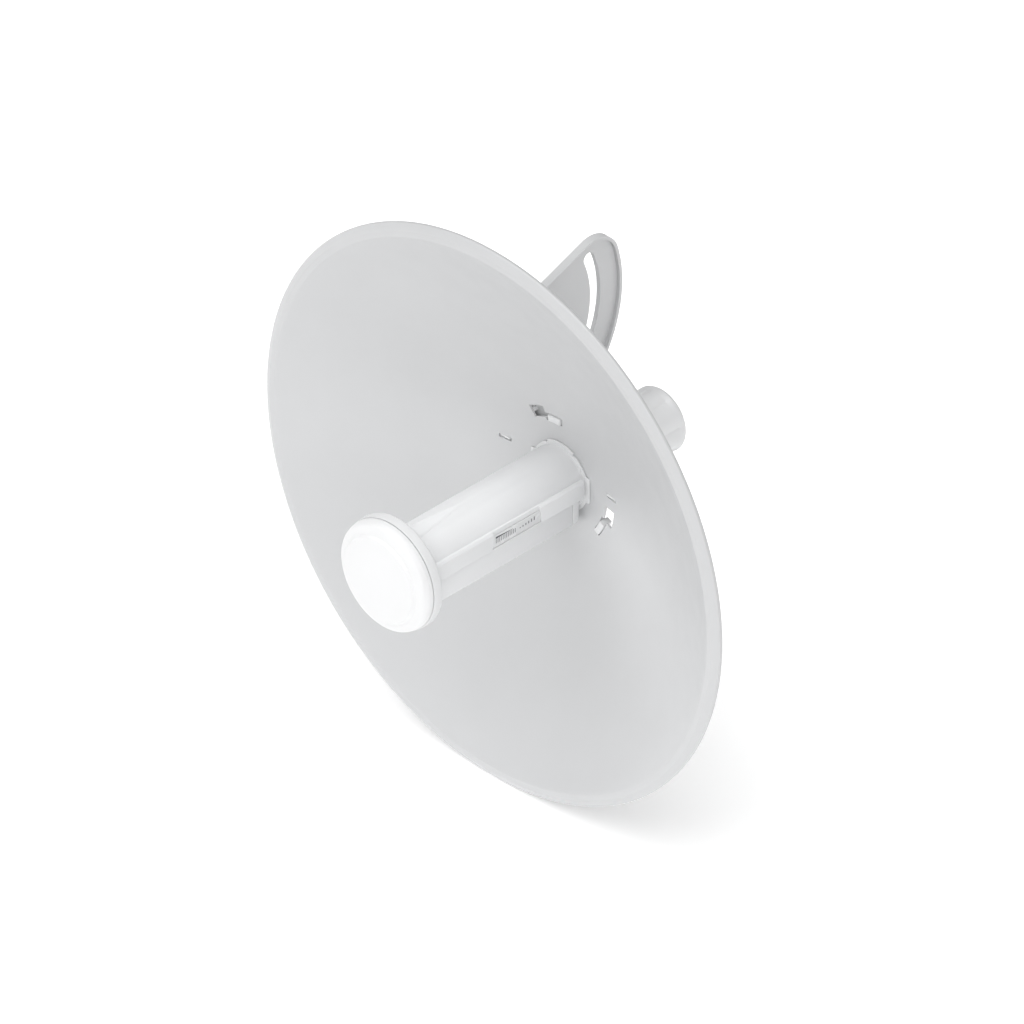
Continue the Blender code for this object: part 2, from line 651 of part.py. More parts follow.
def build_knob():
    round_end = arc((KNOB_RADIUS - KNOB_ROUND, KNOB_END - KNOB_ROUND), KNOB_ROUND, pi / 2, 0, 5)
    bore_end = KNOB_FRONT + KNOB_BORE_DEPTH
    knob = turned("locking_knob", [(0.0, KNOB_END)] + round_end + [
        (KNOB_RADIUS, KNOB_FRONT + 0.8 * MM),
        (KNOB_RADIUS - 0.8 * MM, KNOB_FRONT),
        (SLEEVE_BORE, KNOB_FRONT),
        (SLEEVE_BORE, bore_end),
        (0.0, bore_end),
    ], "Y", (0, 0, 0), WHITE_PLASTIC, KNOB_AXIS, 42, False)
    for i in range(KNOB_GROOVES):
        angle = -pi / 2 + 2 * pi * i / KNOB_GROOVES
        middle = (cos(angle) * (KNOB_RADIUS + 0.9 * MM), sin(angle) * (KNOB_RADIUS + 0.9 * MM))
        cut(knob, outline_solid("knob_groove_%d" % i, [circle(middle, KNOB_GROOVE_RADIUS, 12)],
                                KNOB_FRONT - 2.0 * MM, KNOB_GROOVE_END, "Y", STEEL))


def shell_section():
    """Outer outline of the feed tube: a round back, a rib each side and a flat floor."""
    start = radians(20.7)
    crown = arc((0, 0), TUBE_RADIUS, start, pi - start, 28)
    right = [
        (BOX_X, COVER_TOP + GAP), (BOX_X, RIB_LOW), (RIB_X, RIB_LOW), (RIB_X, RIB_TOP - 1.2 * MM),
        (RIB_X - 1.4 * MM, RIB_TOP),
    ]
    left = [(-x, z) for x, z in reversed(right)]
    return right + crown + left


def shell_cavity():
    """Inner outline of the feed tube, one wall inside the outer one."""
    start = radians(8.0)
    crown = arc((0, 0), TUBE_RADIUS - TUBE_WALL, start, pi - start, 28)
    floor = COVER_TOP + GAP + 1.8 * MM
    side = BOX_X - 1.6 * MM
    return [(side, floor), (side + 1.6 * MM, RIB_LOW + 2.0 * MM)] + crown + [
        (-side - 1.6 * MM, RIB_LOW + 2.0 * MM), (-side, floor)]


def build_feed_shell():
    shell = outline_solid("feed_tube", [shell_section(), shell_cavity()],
                          TUBE_FRONT, TUBE_END, "Y", WHITE_PLASTIC, ELEVATION)
    inset = 0.1 * MM
    join(shell, box("tube_end_block", (inset - BOX_X, COVER_END + GAP, BOX_LOW),
                    (BOX_X - inset, TUBE_END - inset, COVER_TOP + GAP + 1.0 * MM), STEEL))
    cut(shell, box("tube_port_cut", (-9.5 * MM, -18.0 * MM, -12.0 * MM),
                   (17.0 * MM, 24.0 * MM, RIB_LOW + 2.5 * MM), STEEL))
    for side in (-1, 1):
        near = side * (RIB_X - WINDOW_DEPTH)
        far = side * (RIB_X + 2.0 * MM)
        cut(shell, box("tube_window_cut_%d" % (side + 1),
                       (min(near, far), -WINDOW_HALF, WINDOW_LOW),
                       (max(near, far), WINDOW_HALF, WINDOW_HIGH), STEEL))


def build_port_cover():
    cover = box("port_cover", (-BOX_X, TUBE_FRONT + GAP, BOX_LOW), (BOX_X, COVER_END, COVER_TOP),
                WHITE_PLASTIC, COVER_SLIDE)
    cut(cover, box("cover_hollow", (-BOX_X + COVER_WALL, TUBE_FRONT + GAP + COVER_WALL,
                                    BOX_LOW + COVER_WALL),
                   (BOX_X - COVER_WALL, COVER_END - COVER_WALL, COVER_TOP + 2.0 * MM), STEEL))
    inside = BOX_LOW + COVER_WALL
    cut(cover, outline_solid("cover_cable_cut", [circle((0, OUTLET_Y), OUTLET_RADIUS)],
                             BOX_LOW - 1.0 * MM, inside + 1.0 * MM, "Z", STEEL))
    turned("cable_grommet", [
        (OUTLET_RADIUS + 1.4 * MM, inside + 1.5 * MM),
        (OUTLET_RADIUS + 1.4 * MM, inside + GAP),
        (OUTLET_RADIUS - GAP, inside + GAP),
        (OUTLET_RADIUS - GAP, BOX_LOW + GAP),
        (CABLE_RADIUS, BOX_LOW + GAP),
        (CABLE_RADIUS, inside + 1.5 * MM),
    ], "Z", (0, OUTLET_Y, 0), RUBBER, COVER_SLIDE, 24)


def build_feed_tail():
    turned("feed_tail", [
        (TAIL_RADIUS, TAIL_END),
        (TAIL_RADIUS, 64.7 * MM),
        (23.0 * MM, 64.7 * MM),
        (23.0 * MM, TUBE_END + GAP),
        (TAIL_BORE, TUBE_END + GAP),
        (TAIL_BORE, TAIL_END),
    ], "Y", (0, 0, 0), WHITE_PLASTIC, ELEVATION)


def build_cap():
    wall = RADOME_WALL
    turned("cap_ring", [
        (14.0 * MM, CAP_BACK),
        (CAP_RADIUS - 1.0 * MM, CAP_BACK),
        (CAP_RADIUS, CAP_BACK - 1.0 * MM),
        (CAP_RADIUS, CAP_SEAM),
        (CAP_RADIUS - wall, CAP_SEAM),
        (CAP_RADIUS - wall, CAP_BACK - wall),
        (14.0 * MM, CAP_BACK - wall),
    ], "Y", (0, 0, 0), WHITE_PLASTIC, ELEVATION, 44)
    face = CAP_SEAM - GAP
    outer = [(RADOME_RADIUS, face), (RADOME_RADIUS, -96.2 * MM)]
    outer += arc((35.4 * MM, -96.2 * MM), 4.8 * MM, 0, -radians(75), 3)[1:]
    outer += [(33.2 * MM, -101.2 * MM), (31.6 * MM, -103.4 * MM), (30.2 * MM, -103.9 * MM),
              (18.0 * MM, -104.6 * MM), (0.0, -104.9 * MM)]
    inner = [(0.0, -102.9 * MM), (29.8 * MM, -101.9 * MM), (32.0 * MM, -99.6 * MM),
             (35.6 * MM, -98.9 * MM), (38.0 * MM, -96.4 * MM), (38.0 * MM, face)]
    turned("radome_cap", inner + outer, "Y", (0, 0, 0), RADOME, ELEVATION, 44, False)
    turned("cap_gasket", [
        (37.7 * MM, CAP_BACK - wall - GAP), (37.7 * MM, -88.3 * MM),
        (35.4 * MM, -88.3 * MM), (35.4 * MM, CAP_BACK - wall - GAP),
    ], "Y", (0, 0, 0), RUBBER, ELEVATION, 32)
    turned("sub_reflector", [
        (0.0, -99.4 * MM), (10.0 * MM, -98.2 * MM), (31.0 * MM, -97.6 * MM),
        (31.0 * MM, -98.8 * MM), (10.0 * MM, -99.4 * MM), (0.0, -100.6 * MM),
    ], "Y", (0, 0, 0), STEEL, ELEVATION, 32, False)
    turned("radiator_disc", [
        (16.0 * MM, -90.4 * MM), (16.0 * MM, -91.6 * MM),
        (2.6 * MM, -91.6 * MM), (2.6 * MM, -90.4 * MM),
    ], "Y", (0, 0, 0), BRASS, ELEVATION, 32)
    turned("feed_probe", [
        (0.0, -80.0 * MM), (2.2 * MM, -80.0 * MM), (2.2 * MM, -97.0 * MM), (0.0, -97.0 * MM),
    ], "Y", (0, 0, 0), BRASS, ELEVATION, 12, False)


def build_electronics():
    board_low = PCB_TOP - PCB_THICK
    box("main_board", (-PCB_HALF_WIDTH, -76.0 * MM, board_low),
        (PCB_HALF_WIDTH, 55.0 * MM, PCB_TOP), BOARD, ELEVATION)
    box("rf_shield", (-13.0 * MM, -70.0 * MM, PCB_TOP + GAP), (13.0 * MM, -28.0 * MM, 4.6 * MM),
        STEEL, ELEVATION, 0.5 * MM)
    box("power_module", (-12.0 * MM, 14.0 * MM, PCB_TOP + GAP), (10.0 * MM, 38.0 * MM, 8.5 * MM),
        BLACK_PLASTIC, ELEVATION, 0.5 * MM)
    jack = box("ethernet_jack", (-8.0 * MM, 0.0, -16.2 * MM), (8.0 * MM, 21.5 * MM,
               board_low - GAP), STEEL, ELEVATION)
    cut(jack, box("jack_socket", (-6.0 * MM, 3.0 * MM, -14.4 * MM),
                  (6.0 * MM, 25.0 * MM, -6.8 * MM), STEEL))
    box("reset_switch", (BUTTON_X - 3.0 * MM, BUTTON_Y - 3.0 * MM, -3.7 * MM),
        (BUTTON_X + 3.0 * MM, BUTTON_Y + 3.0 * MM, board_low - GAP), BLACK_PLASTIC, ELEVATION)
    turned("reset_button", [
        (0.0, -4.7 * MM), (1.7 * MM, -4.7 * MM), (1.7 * MM, -9.0 * MM), (0.0, -9.4 * MM),
    ], "Z", (BUTTON_X, BUTTON_Y, 0), RUBBER, BUTTON_SLIDE, 16, False)
    leds = box("status_led", (16.0 * MM, -16.0 * MM, PCB_TOP + GAP),
               (17.8 * MM, -14.2 * MM, 1.4 * MM), DARK_LENS, ELEVATION)
    repeat(leds, 6, (0, 6.0 * MM, 0))
    lens_back = RIB_X - WINDOW_DEPTH + GAP
    box("led_lens", (lens_back, -WINDOW_HALF + GAP, WINDOW_LOW + GAP),
        (lens_back + 0.7 * MM, WINDOW_HALF - GAP, WINDOW_HIGH - GAP), DARK_LENS, ELEVATION)
    box("blank_lens", (-lens_back - 0.7 * MM, -WINDOW_HALF + GAP, WINDOW_LOW + GAP),
        (-lens_back, WINDOW_HALF - GAP, WINDOW_HIGH - GAP), WHITE_PLASTIC, ELEVATION)
    screws = turned("board_screw", [
        (0.0, 2.2 * MM), (2.2 * MM, 2.0 * MM), (2.2 * MM, PCB_TOP + GAP), (0.0, PCB_TOP + GAP),
    ], "Z", (-14.8 * MM, 48.0 * MM, 0), STEEL, ELEVATION, 12, False)
    repeat(screws, 2, (29.6 * MM, 0, 0))


build_dish()
build_mount_base()
build_base_fittings()
build_fan()
build_lock_hardware()
build_pole_bracket()
build_clamp()
build_knob()
build_feed_shell()
build_port_cover()
build_feed_tail()
build_cap()
build_electronics()
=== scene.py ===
"""Looks of the outdoor wireless bridge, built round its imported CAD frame.

Shapes are drawn in millimetres in the dish's own frame: zero at the centre of the rim's front
plane, X to the right, the dish facing -Y, +Z up. TO_FRAME carries them to the CAD frame.
"""
import json
from math import asin
from math import atan2
from math import cos
from math import pi
from math import radians
from math import sin
from math import tan

import bmesh
import bpy
from mathutils import Matrix
from mathutils import Vector
from mathutils.geometry import convex_hull_2d


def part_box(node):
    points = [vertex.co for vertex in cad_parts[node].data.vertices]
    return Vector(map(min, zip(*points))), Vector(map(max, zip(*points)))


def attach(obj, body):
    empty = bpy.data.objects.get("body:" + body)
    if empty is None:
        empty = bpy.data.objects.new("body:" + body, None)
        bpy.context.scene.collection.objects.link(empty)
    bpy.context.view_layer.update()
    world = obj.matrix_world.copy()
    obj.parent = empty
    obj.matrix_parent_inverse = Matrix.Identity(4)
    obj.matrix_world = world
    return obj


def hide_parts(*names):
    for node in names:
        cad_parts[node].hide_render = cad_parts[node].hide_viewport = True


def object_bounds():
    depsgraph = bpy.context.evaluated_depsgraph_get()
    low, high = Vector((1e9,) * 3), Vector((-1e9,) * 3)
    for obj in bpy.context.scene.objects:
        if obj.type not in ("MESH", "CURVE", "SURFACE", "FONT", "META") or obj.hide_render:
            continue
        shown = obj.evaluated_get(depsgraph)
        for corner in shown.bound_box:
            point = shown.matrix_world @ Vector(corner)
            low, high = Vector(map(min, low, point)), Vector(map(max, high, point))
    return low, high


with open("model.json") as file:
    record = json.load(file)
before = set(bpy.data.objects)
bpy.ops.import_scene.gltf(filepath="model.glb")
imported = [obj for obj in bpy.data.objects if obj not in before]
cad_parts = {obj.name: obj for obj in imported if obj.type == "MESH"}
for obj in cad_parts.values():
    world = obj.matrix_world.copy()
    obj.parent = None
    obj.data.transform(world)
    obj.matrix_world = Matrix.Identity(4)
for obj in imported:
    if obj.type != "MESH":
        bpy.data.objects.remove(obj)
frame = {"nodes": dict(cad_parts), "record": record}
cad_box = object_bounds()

DISH_LOW, DISH_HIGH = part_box("reflector_dish")
RIM = 210.0
MM = (DISH_HIGH.x - DISH_LOW.x) / 2 / RIM
CENTRE = Vector(((DISH_LOW.x + DISH_HIGH.x) / 2, DISH_LOW.y, (DISH_LOW.z + DISH_HIGH.z) / 2))
TO_FRAME = Matrix.Translation(CENTRE) @ Matrix.Scale(MM, 4)
WELD = 0.001


# ---------------------------------------------------------------- materials

def new_material(name, colour, roughness, metallic=0.0, specular=0.5, coat=0.0):
    material = bpy.data.materials.new(name)
    material.use_nodes = True
    shader = material.node_tree.nodes["Principled BSDF"]
    shader.inputs["Base Color"].default_value = (*colour, 1.0)
    shader.inputs["Roughness"].default_value = roughness
    shader.inputs["Metallic"].default_value = metallic
    shader.inputs["Specular IOR Level"].default_value = specular
    shader.inputs["Coat Weight"].default_value = coat
    shader.inputs["Coat Roughness"].default_value = 0.25
    return material, material.node_tree, shader


def noise(tree, scale, detail=3.0, stretch=(1, 1, 1)):
    """A noise texture in the piece's own coordinates; its features are 1/scale metres."""
    place = tree.nodes.new("ShaderNodeTexCoord")
    spread = tree.nodes.new("ShaderNodeMapping")
    spread.inputs["Scale"].default_value = stretch
    texture = tree.nodes.new("ShaderNodeTexNoise")
    texture.inputs["Scale"].default_value = scale
    texture.inputs["Detail"].default_value = detail
    tree.links.new(place.outputs["Object"], spread.inputs["Vector"])
    tree.links.new(spread.outputs["Vector"], texture.inputs["Vector"])
    return texture.outputs["Fac"]


def between(tree, value, low, high):
    """Maps noise, which stays near the middle of 0 to 1, to a range."""
    ramp = tree.nodes.new("ShaderNodeMapRange")
    ramp.inputs["From Min"].default_value = 0.3
    ramp.inputs["From Max"].default_value = 0.7
    ramp.inputs["To Min"].default_value = low
    ramp.inputs["To Max"].default_value = high
    tree.links.new(value, ramp.inputs["Value"])
    return ramp.outputs["Result"]


def tint(tree, shader, value, first, second):
    """Colour that drifts between two tones."""
    mix = tree.nodes.new("ShaderNodeMix")
    mix.data_type = "RGBA"
    mix.inputs["A"].default_value = (*first, 1.0)
    mix.inputs["B"].default_value = (*second, 1.0)
    tree.links.new(between(tree, value, 0.0, 1.0), mix.inputs["Factor"])
    tree.links.new(mix.outputs["Result"], shader.inputs["Base Color"])


def relief(tree, shader, layers):
    """Bump from layers of (noise, depth in metres), finest first."""
    last = None
    for value, depth in layers:
        bump = tree.nodes.new("ShaderNodeBump")
        bump.inputs["Strength"].default_value = 1.0
        bump.inputs["Distance"].default_value = depth
        tree.links.new(value, bump.inputs["Height"])
        if last is not None:
            tree.links.new(last, bump.inputs["Normal"])
        last = bump.outputs["Normal"]
    tree.links.new(last, shader.inputs["Normal"])


def shade(colour, factor):
    return tuple(channel * factor for channel in colour)


def powder_coat(name, colour, roughness):
    """Baked powder paint on sheet metal: a soft orange peel and a faint drift of tone."""
    material, tree, shader = new_material(name, colour, roughness, coat=0.08)
    tint(tree, shader, noise(tree, 14.0, 4.0), shade(colour, 0.985), shade(colour, 1.012))
    tree.links.new(between(tree, noise(tree, 60.0), roughness - 0.04, roughness + 0.05),
                   shader.inputs["Roughness"])
    relief(tree, shader, [(noise(tree, 1400.0, 2.0), 0.000006), (noise(tree, 420.0), 0.000012)])
    return material


def moulded(name, colour, roughness, grain=2600.0, depth=0.000006):
    """Injection-moulded plastic: a fine spark-eroded grain and soft flow marks."""
    material, tree, shader = new_material(name, colour, roughness)
    tint(tree, shader, noise(tree, 22.0, 3.0), shade(colour, 0.985), shade(colour, 1.01))
    tree.links.new(between(tree, noise(tree, 120.0), roughness - 0.04, roughness + 0.04),
                   shader.inputs["Roughness"])
    relief(tree, shader, [(noise(tree, grain, 2.0), depth), (noise(tree, 90.0), 0.00001)])
    return material


def brushed(name, colour, roughness, stretch):
    """Metal drawn along one axis, with fine scratches and small stains."""
    material, tree, shader = new_material(name, colour, roughness, metallic=1.0)
    tint(tree, shader, noise(tree, 160.0, 4.0), shade(colour, 0.82), shade(colour, 1.08))
    streaks = noise(tree, 900.0, 3.0, stretch)
    tree.links.new(between(tree, streaks, roughness - 0.08, roughness + 0.12),
                   shader.inputs["Roughness"])
    relief(tree, shader, [(streaks, 0.000008)])
    return material


def rubber(name, colour):
    material, tree, shader = new_material(name, colour, 0.75, specular=0.3)
    tint(tree, shader, noise(tree, 70.0, 4.0), shade(colour, 0.8), shade(colour, 1.25))
    relief(tree, shader, [(noise(tree, 1800.0, 3.0), 0.00001)])
    return material


def board_finish(name, colour):
    """Solder mask over copper tracks."""
    material, tree, shader = new_material(name, colour, 0.35, coat=0.3)
    tracks = noise(tree, 420.0, 1.0, (1.0, 0.15, 1.0))
    tint(tree, shader, tracks, shade(colour, 0.8), shade(colour, 1.7))
    relief(tree, shader, [(tracks, 0.00003)])
    return material


COAT = powder_coat("powder_coat_light_grey", (0.575, 0.580, 0.587), 0.40)
COAT_REAR = powder_coat("powder_coat_bracket", (0.600, 0.605, 0.612), 0.44)
PLASTIC = moulded("white_moulded_plastic", (0.735, 0.740, 0.746), 0.42)
RADOME = moulded("radome_plastic", (0.800, 0.803, 0.808), 0.40, 2000.0, 0.000004)
LENS = moulded("window_plastic", (0.700, 0.705, 0.710), 0.25, 3000.0, 0.000002)
PRINT = moulded("grey_print", (0.20, 0.20, 0.21), 0.6, 3000.0, 0.000003)
PIPE = moulded("smoked_light_pipe", (0.10, 0.10, 0.11), 0.18, 1500.0, 0.000002)
STEEL = brushed("stainless_fastener", (0.56, 0.56, 0.57), 0.30, (1.0, 0.1, 1.0))
BRASS = brushed("drawn_brass", (0.66, 0.48, 0.22), 0.30, (1.0, 0.1, 1.0))
TIN = brushed("tinned_shield", (0.62, 0.62, 0.61), 0.36, (0.12, 1.0, 1.0))
GOLD = brushed("gold_contact", (0.85, 0.62, 0.25), 0.25, (1.0, 0.1, 1.0))
RUBBER = rubber("grey_rubber", (0.055, 0.055, 0.058))
BLACK = moulded("black_moulded_plastic", (0.03, 0.03, 0.032), 0.5, 2200.0, 0.00001)
BOARD = board_finish("circuit_board", (0.02, 0.11, 0.05))


# ------------------------------------------------------------- mesh helpers

def from_mesh(name, shape):
    """Turns a bmesh into an object, its faces pointing out."""
    bmesh.ops.remove_doubles(shape, verts=shape.verts, dist=WELD)
    bmesh.ops.recalc_face_normals(shape, faces=shape.faces)
    mesh = bpy.data.meshes.new(name)
    shape.to_mesh(mesh)
    shape.free()
    piece = bpy.data.objects.new(name, mesh)
    bpy.context.scene.collection.objects.link(piece)
    return piece


def bake_modifiers(piece):
    """Applies the piece's modifiers to its mesh."""
    bpy.context.view_layer.update()
    evaluated = piece.evaluated_get(bpy.context.evaluated_depsgraph_get())
    mesh = bpy.data.meshes.new_from_object(evaluated)
    piece.modifiers.clear()
    old = piece.data
    piece.data = mesh
    bpy.data.meshes.remove(old)


def combine(piece, tool, operation="DIFFERENCE"):
    """Cuts a tool out of the piece, or joins it on, and removes the tool."""
    change = piece.modifiers.new("combine", "BOOLEAN")
    change.operation = operation
    change.solver = "EXACT"
    change.object = tool
    bake_modifiers(piece)
    bpy.data.objects.remove(tool, do_unlink=True)
    return piece


def soften(piece, width, segments=2, angle=32):
    """Rounds the piece's sharp edges."""
    shape = bmesh.new()
    shape.from_mesh(piece.data)
    bmesh.ops.dissolve_limit(shape, angle_limit=radians(0.5), verts=shape.verts,
                             edges=shape.edges)
    shape.to_mesh(piece.data)
    shape.free()
    edge = piece.modifiers.new("soften", "BEVEL")
    edge.width = width
    edge.segments = segments
    edge.limit_method = "ANGLE"
    edge.angle_limit = radians(angle)
    edge.use_clamp_overlap = True
    bake_modifiers(piece)
    return piece


def settle(piece, material, body, slot, *nodes, angle=32):
    """Carries a finished piece to the CAD frame, on its body, in place of its nodes."""
    piece.data.transform(TO_FRAME)
    piece.data.materials.clear()
    piece.data.materials.append(material)
    piece.data.shade_smooth()
    piece.data.set_sharp_from_angle(angle=radians(angle))
    if nodes:
        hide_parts(*nodes)
    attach(piece, body)
    return piece


def arc(centre, radius, start, end, count):
    """Points on an arc between two angles in radians."""
    angles = [start + (end - start) * i / count for i in range(count + 1)]
    return [(centre[0] + radius * cos(a), centre[1] + radius * sin(a)) for a in angles]


def circle(centre, radius, count=48):
    return arc(centre, radius, 0.0, 2 * pi, count)[:-1]


def hexagon(centre, across_flats):
    return circle(centre, across_flats / 2 / cos(pi / 6), 6)


def rectangle(left, low, right, high):
    return [(left, low), (right, low), (right, high), (left, high)]


def sector(inner, outer, start, end, count=20):
    """An annular sector about the feed axis, angles in degrees from +X towards +Z."""
    first = radians(start)
    last = radians(end)
    return arc((0, 0), outer, first, last, count) + arc((0, 0), inner, last, first, count)


def rounded(corners, segments=5, closed=True):
    """An outline of (x, y, corner radius) with its corners rounded."""
    points = []
    count = len(corners)
    for i, (x, y, radius) in enumerate(corners):
        end_point = not closed and i in (0, count - 1)
        if radius <= 0.0 or end_point:
            points.append((x, y))
            continue
        here = Vector((x, y))
        back = Vector(corners[i - 1][:2]) - here
        ahead = Vector(corners[(i + 1) % count][:2]) - here
        half = back.angle(ahead) / 2
        reach = min(radius / tan(half), 0.48 * back.length, 0.48 * ahead.length)
        real = reach * tan(half)
        middle = here + (back.normalized() + ahead.normalized()).normalized() * (real / sin(half))
        first = here + back.normalized() * reach - middle
        last = here + ahead.normalized() * reach - middle
        start = atan2(first.y, first.x)
        sweep = (atan2(last.y, last.x) - start + pi) % (2 * pi) - pi
        points += arc(middle, real, start, start + sweep, segments)
    return points


def with_radius(points, radius):
    return [(x, y, radius) for x, y in points]


def on_axis(axis, centre, along, across, up):
    """A point from its place along an axis and its two places across it."""
    if axis == "X":
        return (along, centre[0] + across, centre[1] + up)
    if axis == "Y":
        return (centre[0] + across, along, centre[1] + up)
    return (centre[0] + across, centre[1] + up, along)


def lathe(name, profile, axis="Y", centre=(0.0, 0.0), steps=128, swell=None, closed=True):
    """A turned piece from (radius, place on the axis). swell changes a radius by its angle."""
    shape = bmesh.new()
    rings = []
    for i in range(steps):
        angle = 2 * pi * i / steps
        ring = []
        for radius, along in profile:
            size = swell(radius, along, angle) if swell else radius
            ring.append(shape.verts.new(on_axis(axis, centre, along, size * cos(angle),
                                                size * sin(angle))))
        rings.append(ring)
    count = len(profile) if closed else len(profile) - 1
    for i in range(steps):
        here = rings[i]
        beside = rings[(i + 1) % steps]
        for j in range(count):
            k = (j + 1) % len(profile)
            if profile[j][0] == 0.0 and profile[k][0] == 0.0:
                continue
            shape.faces.new((here[j], here[k], beside[k], beside[j]))
    return from_mesh(name, shape)


def prism(name, loops, low, high, axis="Y", edge=0.0, segments=2):
    """A flat outline, with its holes as further loops, given a thickness along an axis.

    The outline's pairs are (Y, Z) for the X axis, (X, Z) for Y and (X, Y) for Z.
    """
    curve = bpy.data.curves.new(name, "CURVE")
    curve.dimensions = "2D"
    curve.fill_mode = "BOTH"
    curve.extrude = (high - low) / 2
    for loop in loops:
        spline = curve.splines.new("POLY")
        spline.points.add(len(loop) - 1)
        spline.use_cyclic_u = True
        for point, pair in zip(spline.points, loop):
            point.co = (pair[0], pair[1], 0.0, 1.0)
    drawn = bpy.data.objects.new(name, curve)
    bpy.context.scene.collection.objects.link(drawn)
    bpy.context.view_layer.update()
    evaluated = drawn.evaluated_get(bpy.context.evaluated_depsgraph_get())
    mesh = bpy.data.meshes.new_from_object(evaluated)
    bpy.data.objects.remove(drawn, do_unlink=True)
    middle = (low + high) / 2
    for vertex in mesh.vertices:
        across, up, along = vertex.co
        vertex.co = on_axis(axis, (0.0, 0.0), along + middle, across, up)
    shape = bmesh.new()
    shape.from_mesh(mesh)
    bpy.data.meshes.remove(mesh)
    piece = from_mesh(name, shape)
    return soften(piece, edge, segments) if edge else piece


def block(name, low, high, edge=0.0, segments=2):
    """A box between two corners, with rounded edges."""
    return prism(name, [rectangle(low[0], low[1], high[0], high[1])], low[2], high[2], "Z",
                 edge, segments)


def join_meshes(name, pieces):
    """One object from several separate solids."""
    shape = bmesh.new()
    for piece in pieces:
        shape.from_mesh(piece.data)
        bpy.data.objects.remove(piece, do_unlink=True)
    mesh = bpy.data.meshes.new(name)
    shape.to_mesh(mesh)
    shape.free()
    joined = bpy.data.objects.new(name, mesh)
    bpy.context.scene.collection.objects.link(joined)
    return joined


# --------------------------------------------------------------------- dish

DISH_DEPTH = 67.0
DISH_RADIUS = 200.0
DISH_SHEET = 1.3
DISH_HOLE = 24.9
DISH_RINGS = 44
DISH_STEPS = 288
SLOT_STARTS = (121.0, -3.5, -122.5)
WIDE_SLOT = (43.0, 52.0)
NARROW_SLOT = (41.0, 47.0)
WIDE_ANGLE = 15.5
NARROW_ANGLE = 19.0
LATCH_X = 49.0
LATCH_Z = 7.3
SLIT = (10.0, 3.0)
CLOSED_SLOT = 0
LONG_WINDOW = 1
WINDOW_REACH = 3.0
LONG_REACH = 14.0


def dish_front(radius):
    """Depth of the dish's front surface behind the rim plane."""
    return DISH_DEPTH * (1 - (radius / DISH_RADIUS) ** 2)


def make_dish():
    span = 198.6 - DISH_HOLE
    radii = [DISH_HOLE + span * i / DISH_RINGS for i in range(DISH_RINGS + 1)]
    front = [(radius, dish_front(radius)) for radius in radii]
    back = [(radius, dish_front(radius) + DISH_SHEET) for radius in reversed(radii)]
    rim = rounded([
        (front[-1][0], front[-1][1], 0.0),
        (200.3, 0.06, 1.6),
        (204.5, 0.0, 2.2),
        (RIM, 3.0, 1.4),
        (209.4, 5.6, 0.6),
        (207.8, 5.6, 0.5),
        (208.3, 3.9, 1.6),
        (204.8, 1.5, 1.6),
        (202.0, 1.5, 1.2),
        (back[0][0], back[0][1], 0.0),
    ], closed=False)
    dish = lathe("reflector_sheet", front + rim[1:-1] + back, steps=DISH_STEPS)
    low = dish_front(WIDE_SLOT[1]) - 4.0
    high = DISH_DEPTH + 3.0
    cuts = []
    for i, start in enumerate(SLOT_STARTS):
        wide_end = start - WIDE_ANGLE
        wide = sector(*WIDE_SLOT, wide_end, start)
        narrow = sector(*NARROW_SLOT, wide_end - NARROW_ANGLE, wide_end + 1.0)
        cuts.append(prism("wide_cut_%d" % i, [wide], low, high))
        cuts.append(prism("narrow_cut_%d" % i, [narrow], low, high))
    for side in (-1, 1):
        middle = side * LATCH_X
        slit = rounded(with_radius(rectangle(middle - SLIT[0] / 2, LATCH_Z - SLIT[1] / 2,
                                             middle + SLIT[0] / 2, LATCH_Z + SLIT[1] / 2), 0.5))
        cuts.append(prism("slit_cut_%d" % (side + 1), [slit], low, high))
    for tool in cuts:
        combine(dish, tool)
    settle(dish, COAT, "antenna", "coated_aluminium", "reflector_dish", angle=30)


def make_collar():
    """The collar round the feed: a thin lip with a block at each rib and fine notches."""
    lip = []
    notches = (20, 60, 120, 160, 200, 240, 300, 340)
    for degree in range(0, 360):
        radius = 26.3 if 60 < degree < 120 else 25.4
        if min(abs(degree - notch) for notch in notches) < 2.5:
            radius = 23.6
        angle = radians(degree)
        across = radius * cos(angle)
        up = radius * sin(angle)
        if -9.0 < up < 10.0:
            across = 27.0 if across > 0 else -27.0
        lip.append((across, up))
    plate = prism("collar_lip", [lip, circle((0, 0), 18.2, 72)], 64.5, 65.6, edge=0.25)
    body = lathe("feed_collar_ring", [(24.6, 68.7), (24.6, 65.1), (18.2, 65.1), (18.2, 68.7)],
                 steps=144)
    combine(body, plate, "UNION")
    settle(body, PLASTIC, "antenna", "white_plastic", "feed_collar")


def make_latches():
    for number, side in ((1, -1), (2, 1)):
        middle = side * LATCH_X
        tab = block("snap_tab_%d" % number, (middle - 4.2, 62.6, LATCH_Z + 0.1),
                    (middle + 4.2, 68.7, LATCH_Z + 1.4), 0.3)
        settle(tab, PLASTIC, "antenna", "white_plastic", "snap_latch_%d" % number)


# --------------------------------------------------- mount base and the knob

BASE_RADIUS = 48.5
BASE_FRONT = 69.0
BASE_BACK = 73.0
SLEEVE_RADIUS = 21.0
SLEEVE_BORE = 17.7
SLEEVE_END = 115.7
FAN_X = -49.5
FAN_WEB = 3.4
GAP = 0.3


